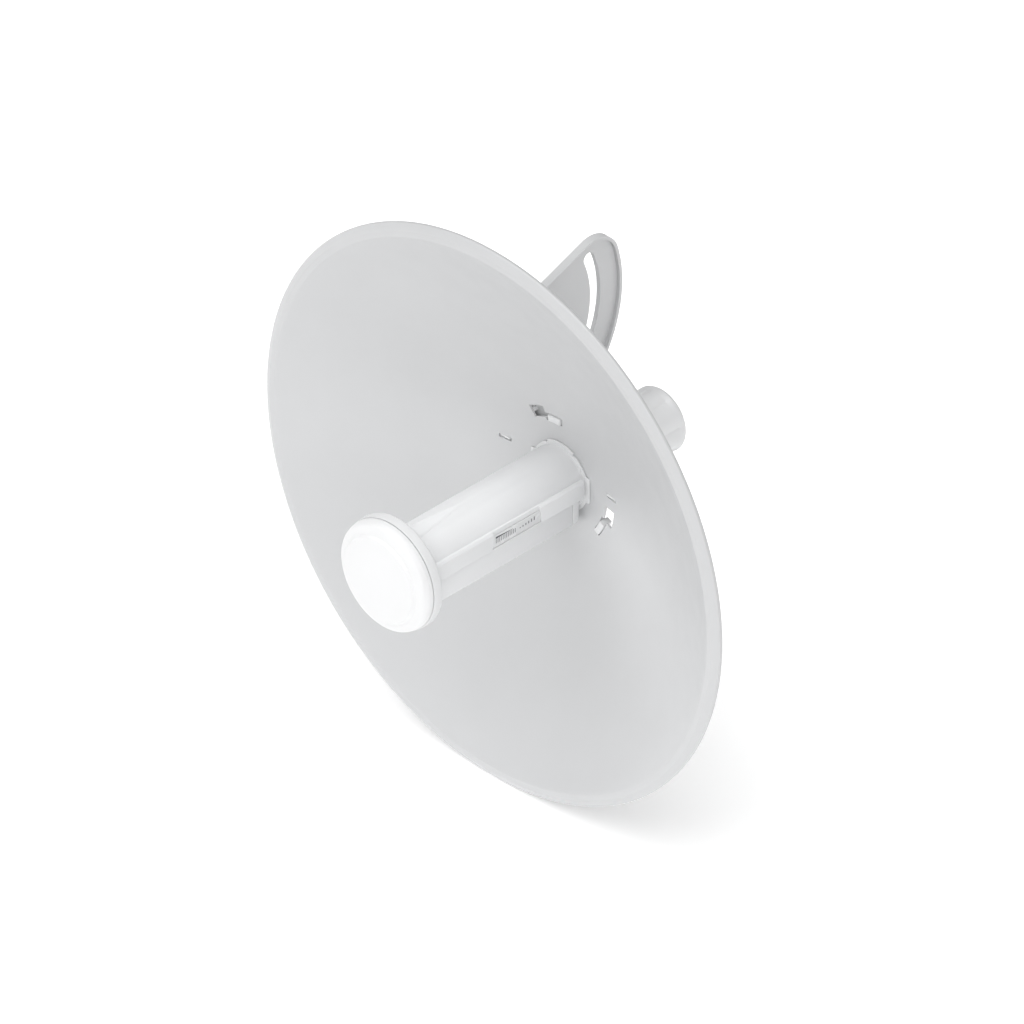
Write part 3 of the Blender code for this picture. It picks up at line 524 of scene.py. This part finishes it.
def add_fan_wall(base):
    """The wall that the elevation plate is screwed to, with two braces to the sleeve."""
    wall_x = FAN_X + FAN_WEB + GAP
    wall = block("wall", (wall_x, BASE_BACK - 2.0, -16.0), (wall_x + 4.0, 99.0, 31.0), 0.6)
    for i in range(3):
        hole = prism("screw_hole", [circle((88.0, -8.0 + 16.0 * i), 2.3, 24)],
                     wall_x - 2.0, wall_x + 6.0, "X")
        combine(wall, hole)
    combine(base, wall, "UNION")
    for level in (-2.0, 12.0):
        brace = prism("brace", [[
            (wall_x + 2.0, BASE_BACK - 1.0),
            (-SLEEVE_BORE - 1.5, BASE_BACK - 1.0),
            (-SLEEVE_BORE - 1.5, 90.0),
            (wall_x + 2.0, 94.0),
        ]], level - 1.5, level + 1.5, "Z", 0.4)
        combine(base, brace, "UNION")


def make_mount_base():
    rest = dish_front(BASE_RADIUS) + DISH_SHEET + GAP
    base = lathe("mount_base_body", rounded([
        (SLEEVE_RADIUS, SLEEVE_END, 0.6),
        (SLEEVE_RADIUS, BASE_BACK + 5.0, 3.0),
        (SLEEVE_RADIUS + 4.0, BASE_BACK, 1.5),
        (BASE_RADIUS, BASE_BACK, 0.8),
        (BASE_RADIUS, rest, 0.4),
        (BASE_RADIUS - 2.5, rest + 0.5, 0.0),
        (BASE_RADIUS - 2.5, BASE_FRONT, 0.0),
        (SLEEVE_BORE, BASE_FRONT, 0.3),
        (SLEEVE_BORE, SLEEVE_END, 0.6),
    ], segments=3), steps=144)
    for i, start in enumerate(SLOT_STARTS):
        wide_end = start - WIDE_ANGLE
        reach = LONG_REACH if i == LONG_WINDOW else WINDOW_REACH
        window = sector(33.0, BASE_RADIUS + 5.0, wide_end - reach, start + 2.0)
        through = BASE_BACK + 2.0
        if i == CLOSED_SLOT:
            combine(base, prism("ear", [window], BASE_FRONT, BASE_BACK), "UNION")
            through = BASE_FRONT
        combine(base, prism("window_%d" % i, [window], rest - 2.0, through))
        hook = sector(NARROW_SLOT[0] + 0.7, NARROW_SLOT[1] - 0.7,
                      wide_end - NARROW_ANGLE + 1.2, wide_end - 3.5)
        solid = prism("hook_%d" % i, [hook], dish_front(NARROW_SLOT[1]) - 1.0,
                      BASE_FRONT + 1.0, edge=0.4)
        combine(base, solid, "UNION")
    for side in (-1, 1):
        middle = side * LATCH_X
        inner = 5.0 if side > 0 else 4.0
        arm = block("arm_%d" % (side + 1), (middle - inner, BASE_FRONT, LATCH_Z - 4.5),
                    (middle + 9.0 - inner, BASE_BACK, LATCH_Z + 4.5), 0.5)
        combine(base, arm, "UNION")
        combine(base, block("latch_room_%d" % (side + 1),
                            (middle - 4.8, rest - 3.0, LATCH_Z - 1.6),
                            (middle + 4.8, BASE_FRONT, LATCH_Z + 1.6)))
    add_fan_wall(base)
    settle(base, PLASTIC, "antenna", "white_plastic", "mount_base")


KNOB_RADIUS = 23.5
KNOB_FRONT = 118.0
KNOB_END = 160.0
KNOB_LOBES = 7
LOBE_OFFSET = 10.5
LOBE_FADE = (152.5, 156.5)


def knob_lobe(radius, along, angle):
    """Bulges the knob's side into lobes that meet in creases and fade out near the end."""
    if radius < SLEEVE_BORE + 1.0:
        return radius
    pitch = 2 * pi / KNOB_LOBES
    turn = (angle + pi / 2) % pitch - pitch / 2
    lobe = KNOB_RADIUS - LOBE_OFFSET
    bulge = LOBE_OFFSET * cos(turn) + (lobe ** 2 - (LOBE_OFFSET * sin(turn)) ** 2) ** 0.5
    fade = min(1.0, max(0.0, (LOBE_FADE[1] - along) / (LOBE_FADE[1] - LOBE_FADE[0])))
    return radius * (1 - fade * (1 - bulge / KNOB_RADIUS))


def make_knob():
    bore_end = KNOB_FRONT + 16.0
    side = [(KNOB_RADIUS, along) for along in (156.0, 155.0, 154.0, 153.2, 152.4, 140.0, 128.0)]
    profile = [(0.0, KNOB_END), (10.0, KNOB_END)]
    profile += arc((KNOB_RADIUS - 4.0, KNOB_END - 4.0), 4.0, pi / 2, 0.0, 10)[:-1]
    profile += side + [
        (KNOB_RADIUS, KNOB_FRONT + 1.0),
        (KNOB_RADIUS - 0.3, KNOB_FRONT + 0.3),
        (KNOB_RADIUS - 1.0, KNOB_FRONT),
        (SLEEVE_BORE, KNOB_FRONT),
        (SLEEVE_BORE, bore_end),
        (0.0, bore_end),
    ]
    knob = lathe("knob_grip", profile, steps=KNOB_LOBES * 36, swell=knob_lobe, closed=False)
    settle(knob, PLASTIC, "knob", "white_plastic", "locking_knob", angle=24)


# ------------------------------------------------------------ elevation plate

PIVOT = (64.9, 85.0)
FAN_RADIUS = 100.8
FAN_FRONT = 74.6
FAN_FOOT = -14.0
FAN_FOOT_LENGTH = 24.0
FOOT_TAPER = 0.37
FAN_BEAD = 2.4
FAN_LOW_ANGLE = radians(-65.0)
EDGE_SLOPE = radians(20.2)
EDGE_RISE = 16.6
CORNER = 21.2
NOSE = 10.8
ARC_SLOT_RADIUS = 78.3
ARC_SLOT_HALF = 4.7
ARC_SLOT_TOP = radians(22.4)
ARC_SLOT_LOW = radians(-52.0)
LOCK_ANGLE = radians(-34.0)


def fan_outline(inset=0.0):
    """The plate's outline, moved in by an inset: foot, outer arc, corner, top edge, nose."""
    rise = Vector((-sin(EDGE_SLOPE), cos(EDGE_SLOPE)))
    run = Vector((cos(EDGE_SLOPE), sin(EDGE_SLOPE)))
    across = EDGE_RISE - CORNER
    along = ((FAN_RADIUS - CORNER) ** 2 - across ** 2) ** 0.5
    corner = Vector(PIVOT) + rise * across + run * along
    out = corner - Vector(PIVOT)
    meet = atan2(out.y, out.x)
    top = EDGE_SLOPE + pi / 2
    shoulder = Vector(PIVOT) + rise * (EDGE_RISE - inset) - run * 2.0
    front = FAN_FRONT + inset
    low = FAN_FOOT + inset
    heel = FAN_FRONT + FAN_FOOT_LENGTH - FOOT_TAPER * inset
    return ([(front, low), (heel, low)]
            + arc(PIVOT, FAN_RADIUS - inset, FAN_LOW_ANGLE, meet, 64)
            + arc(corner, CORNER - inset, meet, top, 20)[1:]
            + [tuple(shoulder)]
            + arc(PIVOT, NOSE - inset, radians(130), radians(205), 20)
            + [(front, 34.0)])


def fan_slot():
    first = arc(PIVOT, ARC_SLOT_RADIUS, ARC_SLOT_LOW, ARC_SLOT_TOP, 1)
    return (arc(PIVOT, ARC_SLOT_RADIUS + ARC_SLOT_HALF, ARC_SLOT_LOW, ARC_SLOT_TOP, 48)
            + arc(first[1], ARC_SLOT_HALF, ARC_SLOT_TOP, ARC_SLOT_TOP + pi, 12)[1:-1]
            + arc(PIVOT, ARC_SLOT_RADIUS - ARC_SLOT_HALF, ARC_SLOT_TOP, ARC_SLOT_LOW, 48)
            + arc(first[0], ARC_SLOT_HALF, ARC_SLOT_LOW + pi, ARC_SLOT_LOW + 2 * pi, 12)[1:-1])


def make_fan():
    outline = fan_outline()
    holes = [circle(PIVOT, 4.4)] + [circle((88.0, -8.0 + 16.0 * i), 2.3, 24) for i in range(3)]
    fan = prism("fan_plate", [outline, fan_slot()] + holes, FAN_X, FAN_X + FAN_WEB, "X")
    bead = prism("bead", [outline, fan_outline(FAN_BEAD)], FAN_X + 1.0, FAN_X + 6.0, "X")
    combine(bead, block("foot_room", (FAN_X + FAN_WEB, FAN_FRONT - 5.0, -20.0),
                        (FAN_X + 12.0, 100.5, 36.0)))
    combine(fan, bead, "UNION")
    soften(fan, 0.4)
    settle(fan, COAT, "antenna", "coated_metal", "elevation_fan")


# ------------------------------------------------------------- pole mounting

CHEEK = 3.5
POLE = (-90.0, 127.0, -20.0)
POLE_RADIUS = 24.0
CLAMP_HALF = 25.0
BOLT_OFFSET = 31.0
CLAMP_WALL = 4.0
RIB_DEPTH = 16.0
WASHER = 1.6
NOTCH = POLE_RADIUS / sin(pi / 3)
WALL_BACK = POLE[1] - NOTCH - 1.3
JAW_FRONT = POLE[1] + NOTCH + 1.3
LOCK = (PIVOT[0] + ARC_SLOT_RADIUS * cos(LOCK_ANGLE), PIVOT[1] + ARC_SLOT_RADIUS * sin(LOCK_ANGLE))


def notched_rib(side):
    """Outline of a rib with a 120 degree notch that the pole lies in; +1 faces +Y."""
    apex = POLE[1] - side * NOTCH
    back = apex - side * 3.5
    lip = back + side * RIB_DEPTH
    half = abs(lip - apex) * 3 ** 0.5
    width = 22.5
    points = [
        (POLE[0] - width, back),
        (POLE[0] + width, back),
        (POLE[0] + width, lip),
        (POLE[0] + half, lip),
        (POLE[0], apex),
        (POLE[0] - half, lip),
        (POLE[0] - width, lip),
    ]
    return points if side > 0 else points[::-1]


def add_ribs(piece, side):
    for low in (POLE[2] - CLAMP_HALF, POLE[2] + CLAMP_HALF - CLAMP_WALL):
        rib = prism("rib", [notched_rib(side)], low, low + CLAMP_WALL, "Z")
        combine(piece, rib, "UNION")


def bolt_holes():
    return [circle((POLE[0] + side * BOLT_OFFSET, POLE[2]), 4.4, 32) for side in (-1, 1)]


def make_bracket():
    low = POLE[2] - CLAMP_HALF
    high = POLE[2] + CLAMP_HALF
    front = WALL_BACK - CLAMP_WALL
    heel = [(front, high), (118.0, high)]
    rim = circle(PIVOT, 11.0, 64) + circle(LOCK, 10.0, 64) + heel
    hull = [rim[i] for i in convex_hull_2d([Vector(point) for point in rim])]
    turn = hull.index(heel[0]) + 1
    outline = hull[turn:] + hull[:turn] + [(heel[0][0], low), (heel[1][0], low)]
    out = FAN_X - GAP - CHEEK
    bracket = prism("bracket_plate", [outline, circle(PIVOT, 4.4), circle(LOCK, 4.4)],
                    out, FAN_X - GAP, "X")
    wall = rectangle(POLE[0] - 40.0, low, out + 2.0, high)
    combine(bracket, prism("wall", [wall] + bolt_holes(), front, WALL_BACK), "UNION")
    add_ribs(bracket, 1)
    gusset = [(out - 14.0, WALL_BACK - 1.0), (out + 1.0, WALL_BACK - 1.0),
              (out + 1.0, WALL_BACK + 13.0)]
    for place in (low, high - CLAMP_WALL):
        combine(bracket, prism("gusset", [gusset], place, place + 3.0, "Z"), "UNION")
    soften(bracket, 0.5)
    settle(bracket, COAT_REAR, "mast_bracket", "coated_metal", "pole_bracket")


def make_jaw():
    plate = rectangle(POLE[0] - 40.0, POLE[2] - CLAMP_HALF, POLE[0] + 40.0, POLE[2] + CLAMP_HALF)
    jaw = prism("jaw_plate", [plate] + bolt_holes(), JAW_FRONT, JAW_FRONT + CLAMP_WALL)
    add_ribs(jaw, -1)
    soften(jaw, 0.5)
    settle(jaw, COAT_REAR, "jaw", "coated_metal", "clamp_jaw")


def thread(pitch, depth):
    """Radius change of a screw thread, for the part of a profile at the screw's full radius."""
    def swell(radius, along, angle):
        if radius < 2.9 or radius > 4.05:
            return radius
        phase = (along / pitch + angle / (2 * pi)) % 1.0
        return radius - depth * abs(2 * phase - 1)
    return swell


def threaded(name, axis, centre, radius, tip, neck, head, pitch):
    """A bolt: a threaded shank from its tip to its neck, then its head's own profile."""
    sign = 1 if neck > tip else -1
    count = int(abs(neck - tip) / pitch * 6)
    shank = [(radius, tip + sign * 0.8 + (neck - tip - sign * 0.8) * i / count)
             for i in range(count + 1)]
    profile = [(0.0, tip), (radius - 0.9, tip)] + shank + head
    return lathe(name, profile, axis, centre, 32, thread(pitch, 0.55), closed=False)


def hex_nut(name, axis, centre, across_flats, bore, low, high):
    """A nut with both faces turned down to a chamfer."""
    outline = [hexagon(centre, across_flats), circle(centre, bore, 32)]
    nut = prism(name, outline, low, high, axis)
    flat = across_flats / 2
    turned_down = lathe("chamfer", [
        (0.0, low - 0.1), (flat * 0.98, low - 0.1), (flat * 1.2, low + 1.0),
        (flat * 1.2, high - 1.0), (flat * 0.98, high + 0.1), (0.0, high + 0.1),
    ], axis, centre, 64, closed=False)
    return combine(nut, turned_down, "INTERSECT")


def washer(name, axis, centre, outer, inner, low, high):
    return lathe(name, rounded([
        (outer, low, 0.3), (outer, high, 0.3), (inner, high, 0.2), (inner, low, 0.2),
    ], 3), axis, centre, 64)


def make_hinge_hardware():
    seat = FAN_X + FAN_WEB + GAP
    cheek = FAN_X - 2 * GAP - CHEEK
    for label, centre, shank, head, disc in (
        ("pivot", PIVOT, 4.0, 13.0, 8.0),
        ("lock", LOCK, 4.0, 13.0, 9.0),
    ):
        ring = washer(label + "_ring", "X", centre, disc, shank + GAP, seat, seat + WASHER)
        settle(ring, STEEL, "mast_bracket", "stainless_steel", label + "_washer")
        grip = head / 2 + 1.0
        top = seat + WASHER + GAP
        crown = [(grip - 0.3, top), (grip, top + 0.3), (grip, top + 1.3),
                 (grip * 0.93, top + 2.3), (grip * 0.75, top + 3.3), (grip * 0.4, top + 4.1),
                 (0.0, top + 4.2)]
        bolt = threaded(label + "_screw", "X", centre, shank, cheek - 12.0, top, crown, 1.25)
        settle(bolt, STEEL, "mast_bracket", "stainless_steel", label + "_bolt")
        nut = hex_nut(label + "_hex_nut", "X", centre, head, shank + GAP,
                      cheek - GAP - head * 0.5, cheek - GAP)
        settle(nut, STEEL, "mast_bracket", "stainless_steel", label + "_nut")


def make_clamp_hardware():
    wall = WALL_BACK - CLAMP_WALL
    back = JAW_FRONT + CLAMP_WALL + GAP + WASHER
    for number, side in ((1, -1), (2, 1)):
        centre = (POLE[0] + side * BOLT_OFFSET, POLE[2])
        head = [(8.0, wall - GAP), (7.7, wall - 1.2), (6.4, wall - 3.0), (4.0, wall - 3.9),
                (0.0, wall - 4.2)]
        bolt = threaded("carriage_bolt_%d" % number, "Y", centre, 4.0, back + 11.0, wall - GAP,
                        head, 1.25)
        settle(bolt, STEEL, "mast_bracket", "stainless_steel", "clamp_bolt_%d" % number)
        ring = washer("clamp_ring_%d" % number, "Y", centre, 8.0, 4.3, back - WASHER, back)
        settle(ring, STEEL, "jaw", "stainless_steel", "clamp_washer_%d" % number)
        nut = hex_nut("clamp_hex_nut_%d" % number, "Y", centre, 13.0, 4.3, back + GAP,
                      back + 6.8)
        settle(nut, STEEL, "jaw", "stainless_steel", "clamp_nut_%d" % number)


# --------------------------------------------------------------- feed

TUBE_RADIUS = 23.5
TUBE_FRONT = -84.0
TUBE_END = 62.0
RIB_X = 25.0
RIB_TOP = 9.3
RIB_LOW = -4.3
BOX_X = 20.0
BOX_LOW = -26.7
COVER_TOP = -6.6
COVER_END = 56.0
COVER_WALL = 1.8
WINDOW_BACK = 23.2
OUTLET = (0.0, 47.0)
SCOOP_APEX = (0.0, -21.5, 23.65)
SCOOP_HEIGHT = 36.6
SCOOP_RADIUS = 17.4


def tube_section():
    """Outer outline of the feed tube: a round back, a bevelled rib each side and a floor."""
    start = asin(RIB_TOP / TUBE_RADIUS)
    right = rounded([
        (BOX_X, COVER_TOP + GAP, 0.0),
        (BOX_X, RIB_LOW, 0.4),
        (RIB_X, RIB_LOW, 0.5),
        (RIB_X, RIB_TOP - 1.4, 0.5),
        (RIB_X - 1.6, RIB_TOP, 0.0),
    ], 3, closed=False)
    left = [(-x, z) for x, z in reversed(right)]
    return right + arc((0, 0), TUBE_RADIUS, start, pi - start, 80) + left


def tube_cavity():
    side = [(18.4, -4.5), (20.0, -2.3), (19.8, 3.0)]
    crown = arc((0, 0), 17.8, radians(28), radians(152), 40)
    return side + crown + [(-x, z) for x, z in reversed(side)]


def scoop_cutter():
    """A cone whose lower side runs down from the tube's crown to the cap."""
    apex = Vector(SCOOP_APEX)
    reach = 1.04
    base_y = apex.y + (TUBE_FRONT - apex.y) * reach
    base_z = apex.z + (SCOOP_HEIGHT - apex.z) * reach
    shape = bmesh.new()
    tip = shape.verts.new(apex)
    ring = [shape.verts.new((x, base_y, z))
            for x, z in circle((0.0, base_z), SCOOP_RADIUS * reach, 96)]
    for i, vertex in enumerate(ring):
        shape.faces.new((tip, vertex, ring[(i + 1) % len(ring)]))
    shape.faces.new(ring)
    return from_mesh("scoop", shape)


def make_feed_tube():
    tube = prism("feed_shell", [tube_section(), tube_cavity()], TUBE_FRONT, TUBE_END)
    end = prism("end_block", [rounded([
        (0.1 - BOX_X, BOX_LOW, 2.5),
        (BOX_X - 0.1, BOX_LOW, 2.5),
        (BOX_X - 0.1, COVER_TOP + 1.3, 0.0),
        (0.1 - BOX_X, COVER_TOP + 1.3, 0.0),
    ])], COVER_END + GAP, TUBE_END - 0.1)
    combine(tube, end, "UNION")
    combine(tube, block("port_room", (-9.5, -18.0, -12.0), (17.0, 24.0, RIB_LOW + 2.5)))
    for side in (-1, 1):
        near = side * WINDOW_BACK
        far = side * (RIB_X + 2.0)
        recess = [(-22.6, -3.4), (22.6, -3.4), (21.2, RIB_TOP + 3.0), (-21.2, RIB_TOP + 3.0)]
        combine(tube, prism("recess", [recess], min(near, far), max(near, far), "X"))
    soften(tube, 0.25, 2, 40)
    combine(tube, scoop_cutter())
    settle(tube, PLASTIC, "antenna", "white_plastic", "feed_tube", angle=26)


def make_windows():
    """The status window with its light pipe and marks, and the blank one on the other side."""
    outline = rounded(with_radius([(-22.3, -3.1), (22.3, -3.1), (21.5, 6.0), (-21.5, 6.0)], 0.3))
    back = WINDOW_BACK + GAP
    pane = prism("status_window", [outline], back, back + 0.7, "X", 0.2)
    settle(pane, LENS, "antenna", "smoked_lens", "led_lens")
    wedge = [(-19.2, 3.5), (-3.0, 3.8), (-19.2, 4.9)]
    pipe = prism("light_pipe", [wedge], back + 0.5, back + 0.85, "X")
    settle(pipe, PIPE, "antenna", "smoked_lens", "led_lens")
    marks = []
    for i in range(12):
        place = -19.0 + 1.6 * i
        marks.append(block("bar", (back + 0.6, place, -0.3), (back + 0.76, place + 0.6, 3.2)))
    for i in range(6):
        place = 3.0 + 2.6 * i
        height = 0.8 + 0.4 * i
        marks.append(block("mark", (back + 0.6, place, 0.8), (back + 0.76, place + 1.0,
                                                             0.8 + height)))
    printed = join_meshes("window_marks", marks)
    settle(printed, PRINT, "antenna", "smoked_lens", "led_lens")
    blank = prism("blank_window", [outline], -back - 0.7, -back, "X", 0.2)
    settle(blank, LENS, "antenna", "white_plastic", "blank_lens")


def make_port_cover():
    front = TUBE_FRONT + GAP
    outer = prism("cover_shell", [rounded([
        (-BOX_X, BOX_LOW, 2.5),
        (BOX_X, BOX_LOW, 2.5),
        (BOX_X, COVER_TOP, 0.0),
        (-BOX_X, COVER_TOP, 0.0),
    ])], front, COVER_END)
    hollow = prism("hollow", [rounded([
        (COVER_WALL - BOX_X, BOX_LOW + COVER_WALL, 1.2),
        (BOX_X - COVER_WALL, BOX_LOW + COVER_WALL, 1.2),
        (BOX_X - COVER_WALL, COVER_TOP + 2.0, 0.0),
        (COVER_WALL - BOX_X, COVER_TOP + 2.0, 0.0),
    ])], front + COVER_WALL, COVER_END - COVER_WALL)
    combine(outer, hollow)
    outlet = prism("outlet", [circle(OUTLET, 4.5)], BOX_LOW - 1.0, BOX_LOW + COVER_WALL + 1.0,
                   "Z")
    combine(outer, outlet)
    soften(outer, 0.3)
    settle(outer, PLASTIC, "cover", "white_plastic", "port_cover")
    inside = BOX_LOW + COVER_WALL
    seal = lathe("outlet_grommet", rounded([
        (5.9, inside + 1.5, 0.4), (5.9, inside + GAP, 0.2), (4.2, inside + GAP, 0.1),
        (4.2, BOX_LOW + GAP, 0.2), (3.3, BOX_LOW + GAP, 0.3), (3.3, inside + 1.5, 0.4),
    ], 3), "Z", OUTLET, 48)
    settle(seal, RUBBER, "cover", "grey_rubber", "cable_grommet")


CAP_RADIUS = 40.9
CAP_BACK = -84.3
CAP_SEAM = -92.2
RADOME_RADIUS = 40.2
CAP_STEPS = 192


def make_cap():
    ring = lathe("cap_rear_ring", rounded([
        (14.0, CAP_BACK, 0.4),
        (CAP_RADIUS, CAP_BACK, 1.7),
        (CAP_RADIUS, CAP_SEAM, 0.4),
        (CAP_RADIUS - 2.0, CAP_SEAM, 0.2),
        (CAP_RADIUS - 2.0, CAP_BACK - 2.0, 0.8),
        (14.0, CAP_BACK - 2.0, 0.4),
    ]), steps=CAP_STEPS)
    settle(ring, PLASTIC, "antenna", "white_plastic", "cap_ring")
    face = CAP_SEAM - 2 * GAP
    outer = rounded([
        (RADOME_RADIUS, face, 0.0),
        (RADOME_RADIUS, -95.6, 4.0),
        (RADOME_RADIUS - 1.2, -99.6, 4.0),
        (34.2, -101.6, 2.5),
        (32.6, -101.9, 1.0),
        (31.2, -103.9, 1.2),
        (18.0, -104.7, 30.0),
        (0.0, -104.9, 0.0),
    ], 8, closed=False)
    inner = [(0.0, -102.9), (29.4, -101.9), (31.4, -99.8), (35.6, -99.0), (37.4, -97.6),
             (38.2, -95.4), (38.2, face)]
    dome = lathe("radome_cover", inner + outer, steps=CAP_STEPS, closed=False)
    settle(dome, RADOME, "antenna", "radome_plastic", "radome_cap")


# --------------------------------------------------------------- inside

def make_socket():
    """The network socket: a shielded can with its mouth and eight spring contacts."""
    can = block("socket_can", (-8.0, 0.0, -16.2), (8.0, 21.5, -1.9), 0.4)
    combine(can, block("mouth", (-6.0, 3.0, -14.4), (6.0, 25.0, -6.8)))
    combine(can, block("latch_way", (-3.0, 5.0, -15.4), (3.0, 25.0, -14.0)))
    settle(can, TIN, "antenna", "stainless_steel", "ethernet_jack")
    pins = []
    for i in range(8):
        place = -3.6 + 1.02 * i
        pins.append(prism("pin", [[(4.0, -7.4), (18.0, -7.0), (18.0, -6.7), (4.0, -6.9)]],
                          place, place + 0.45, "X"))
    contacts = join_meshes("socket_contacts", pins)
    settle(contacts, GOLD, "antenna", "brass")


def make_board():
    """The main board, with its drilled corners and a few parts on its underside."""
    plate = prism("board_plate", [
        rounded(with_radius(rectangle(-18.0, -76.0, 18.0, 55.0), 1.5)),
        circle((-14.8, 48.0), 1.3, 24),
        circle((14.8, 48.0), 1.3, 24),
    ], -1.6, 0.0, "Z")
    settle(plate, BOARD, "antenna", "circuit_board", "main_board")
    chips = [
        block("chip", (-12.0, -52.0, -2.9), (0.0, -40.0, -1.65), 0.15),
        block("chip", (4.0, -48.0, -2.6), (12.0, -42.0, -1.65), 0.15),
        block("chip", (-13.0, -30.0, -3.8), (-4.0, -23.0, -1.65), 0.15),
    ]
    group = join_meshes("board_chips", chips)
    settle(group, BLACK, "antenna", "black_plastic")


NODE_LOOKS = {
    "coated_metal": COAT,
    "coated_aluminium": COAT,
    "white_plastic": PLASTIC,
    "radome_plastic": RADOME,
    "smoked_lens": PIPE,
    "grey_rubber": RUBBER,
    "stainless_steel": STEEL,
    "brass": BRASS,
    "circuit_board": BOARD,
    "black_plastic": BLACK,
}


def finish_cad_nodes():
    """Gives the CAD nodes that stay in view their finish, by the record's slots."""
    slots = {row["node"]: row["material_slot"] for row in frame["record"]["subparts"]}
    for name, node in frame["nodes"].items():
        if node.hide_render:
            continue
        look = TIN if name == "rf_shield" else NODE_LOOKS[slots[name]]
        node.data.materials.clear()
        node.data.materials.append(look)


# --------------------------------------------------------- camera and light

VIEW = Vector((-1.0, 1.0, -1.0)).normalized()
VIEW_RIGHT = Vector((1.0, 1.0, 0.0)).normalized()
VIEW_UP = VIEW_RIGHT.cross(VIEW)
FRAME_WIDTH = 670.16
AIM_RIGHT = 14.2
AIM_UP = 2.75
DISTANCE = 2000.0


def make_camera():
    """An isometric view from the front right and above, without perspective."""
    data = bpy.data.cameras.new("camera")
    data.type = "ORTHO"
    data.ortho_scale = FRAME_WIDTH * MM
    data.clip_start = 0.01
    data.clip_end = 20.0
    camera = bpy.data.objects.new("camera", data)
    bpy.context.scene.collection.objects.link(camera)
    aim = CENTRE + (VIEW_RIGHT * AIM_RIGHT + VIEW_UP * AIM_UP) * MM
    camera.location = aim - VIEW * DISTANCE * MM
    camera.rotation_euler = VIEW.to_track_quat("-Z", "Y").to_euler()
    bpy.context.scene.camera = camera


def make_sun(name, towards, strength, spread):
    """A soft light from far away, shining along a direction."""
    data = bpy.data.lights.new(name, "SUN")
    data.energy = strength
    data.angle = radians(spread)
    lamp = bpy.data.objects.new(name, data)
    bpy.context.scene.collection.objects.link(lamp)
    lamp.rotation_euler = Vector(towards).to_track_quat("-Z", "Y").to_euler()


WORLD = 0.19
FLOOR_GLOW = 0.30
LIGHTS = (
    ("above", (0.0, 0.0, -1.0), 0.34, 60),
    ("front_left", (0.25, 0.43, -0.87), 1.93, 70),
    ("left", (0.5, 0.0, -0.87), 0.12, 50),
    ("front_right", (-0.71, 0.41, -0.57), 1.20, 60),
)


def make_lights():
    world = bpy.data.worlds.new("studio")
    world.use_nodes = True
    background = world.node_tree.nodes["Background"]
    background.inputs["Color"].default_value = (1.0, 1.0, 1.0, 1.0)
    background.inputs["Strength"].default_value = WORLD
    bpy.context.scene.world = world
    for name, towards, strength, spread in LIGHTS:
        make_sun(name, towards, strength, spread)


def make_floor():
    low = min(corner[2] for corner in cad_box) - 0.0004
    bpy.ops.mesh.primitive_plane_add(size=12.0, location=(0.0, 0.0, low))
    floor = bpy.context.object
    floor.name = "studio_floor"
    white = new_material("floor_white", (0.95, 0.95, 0.95), 0.9, specular=0.0)[0]
    surface = white.node_tree.nodes["Principled BSDF"]
    surface.inputs["Emission Color"].default_value = (1.0, 1.0, 1.0, 1.0)
    surface.inputs["Emission Strength"].default_value = FLOOR_GLOW
    floor.data.materials.append(white)


def main():
    make_dish()
    make_collar()
    make_latches()
    make_mount_base()
    make_knob()
    make_fan()
    make_bracket()
    make_jaw()
    make_hinge_hardware()
    make_clamp_hardware()
    make_feed_tube()
    make_windows()
    make_port_cover()
    make_cap()
    make_socket()
    make_board()
    finish_cad_nodes()
    make_floor()
    make_camera()
    make_lights()
    scene = bpy.context.scene
    scene.view_settings.view_transform = "Standard"
    scene.view_settings.look = "None"


main()
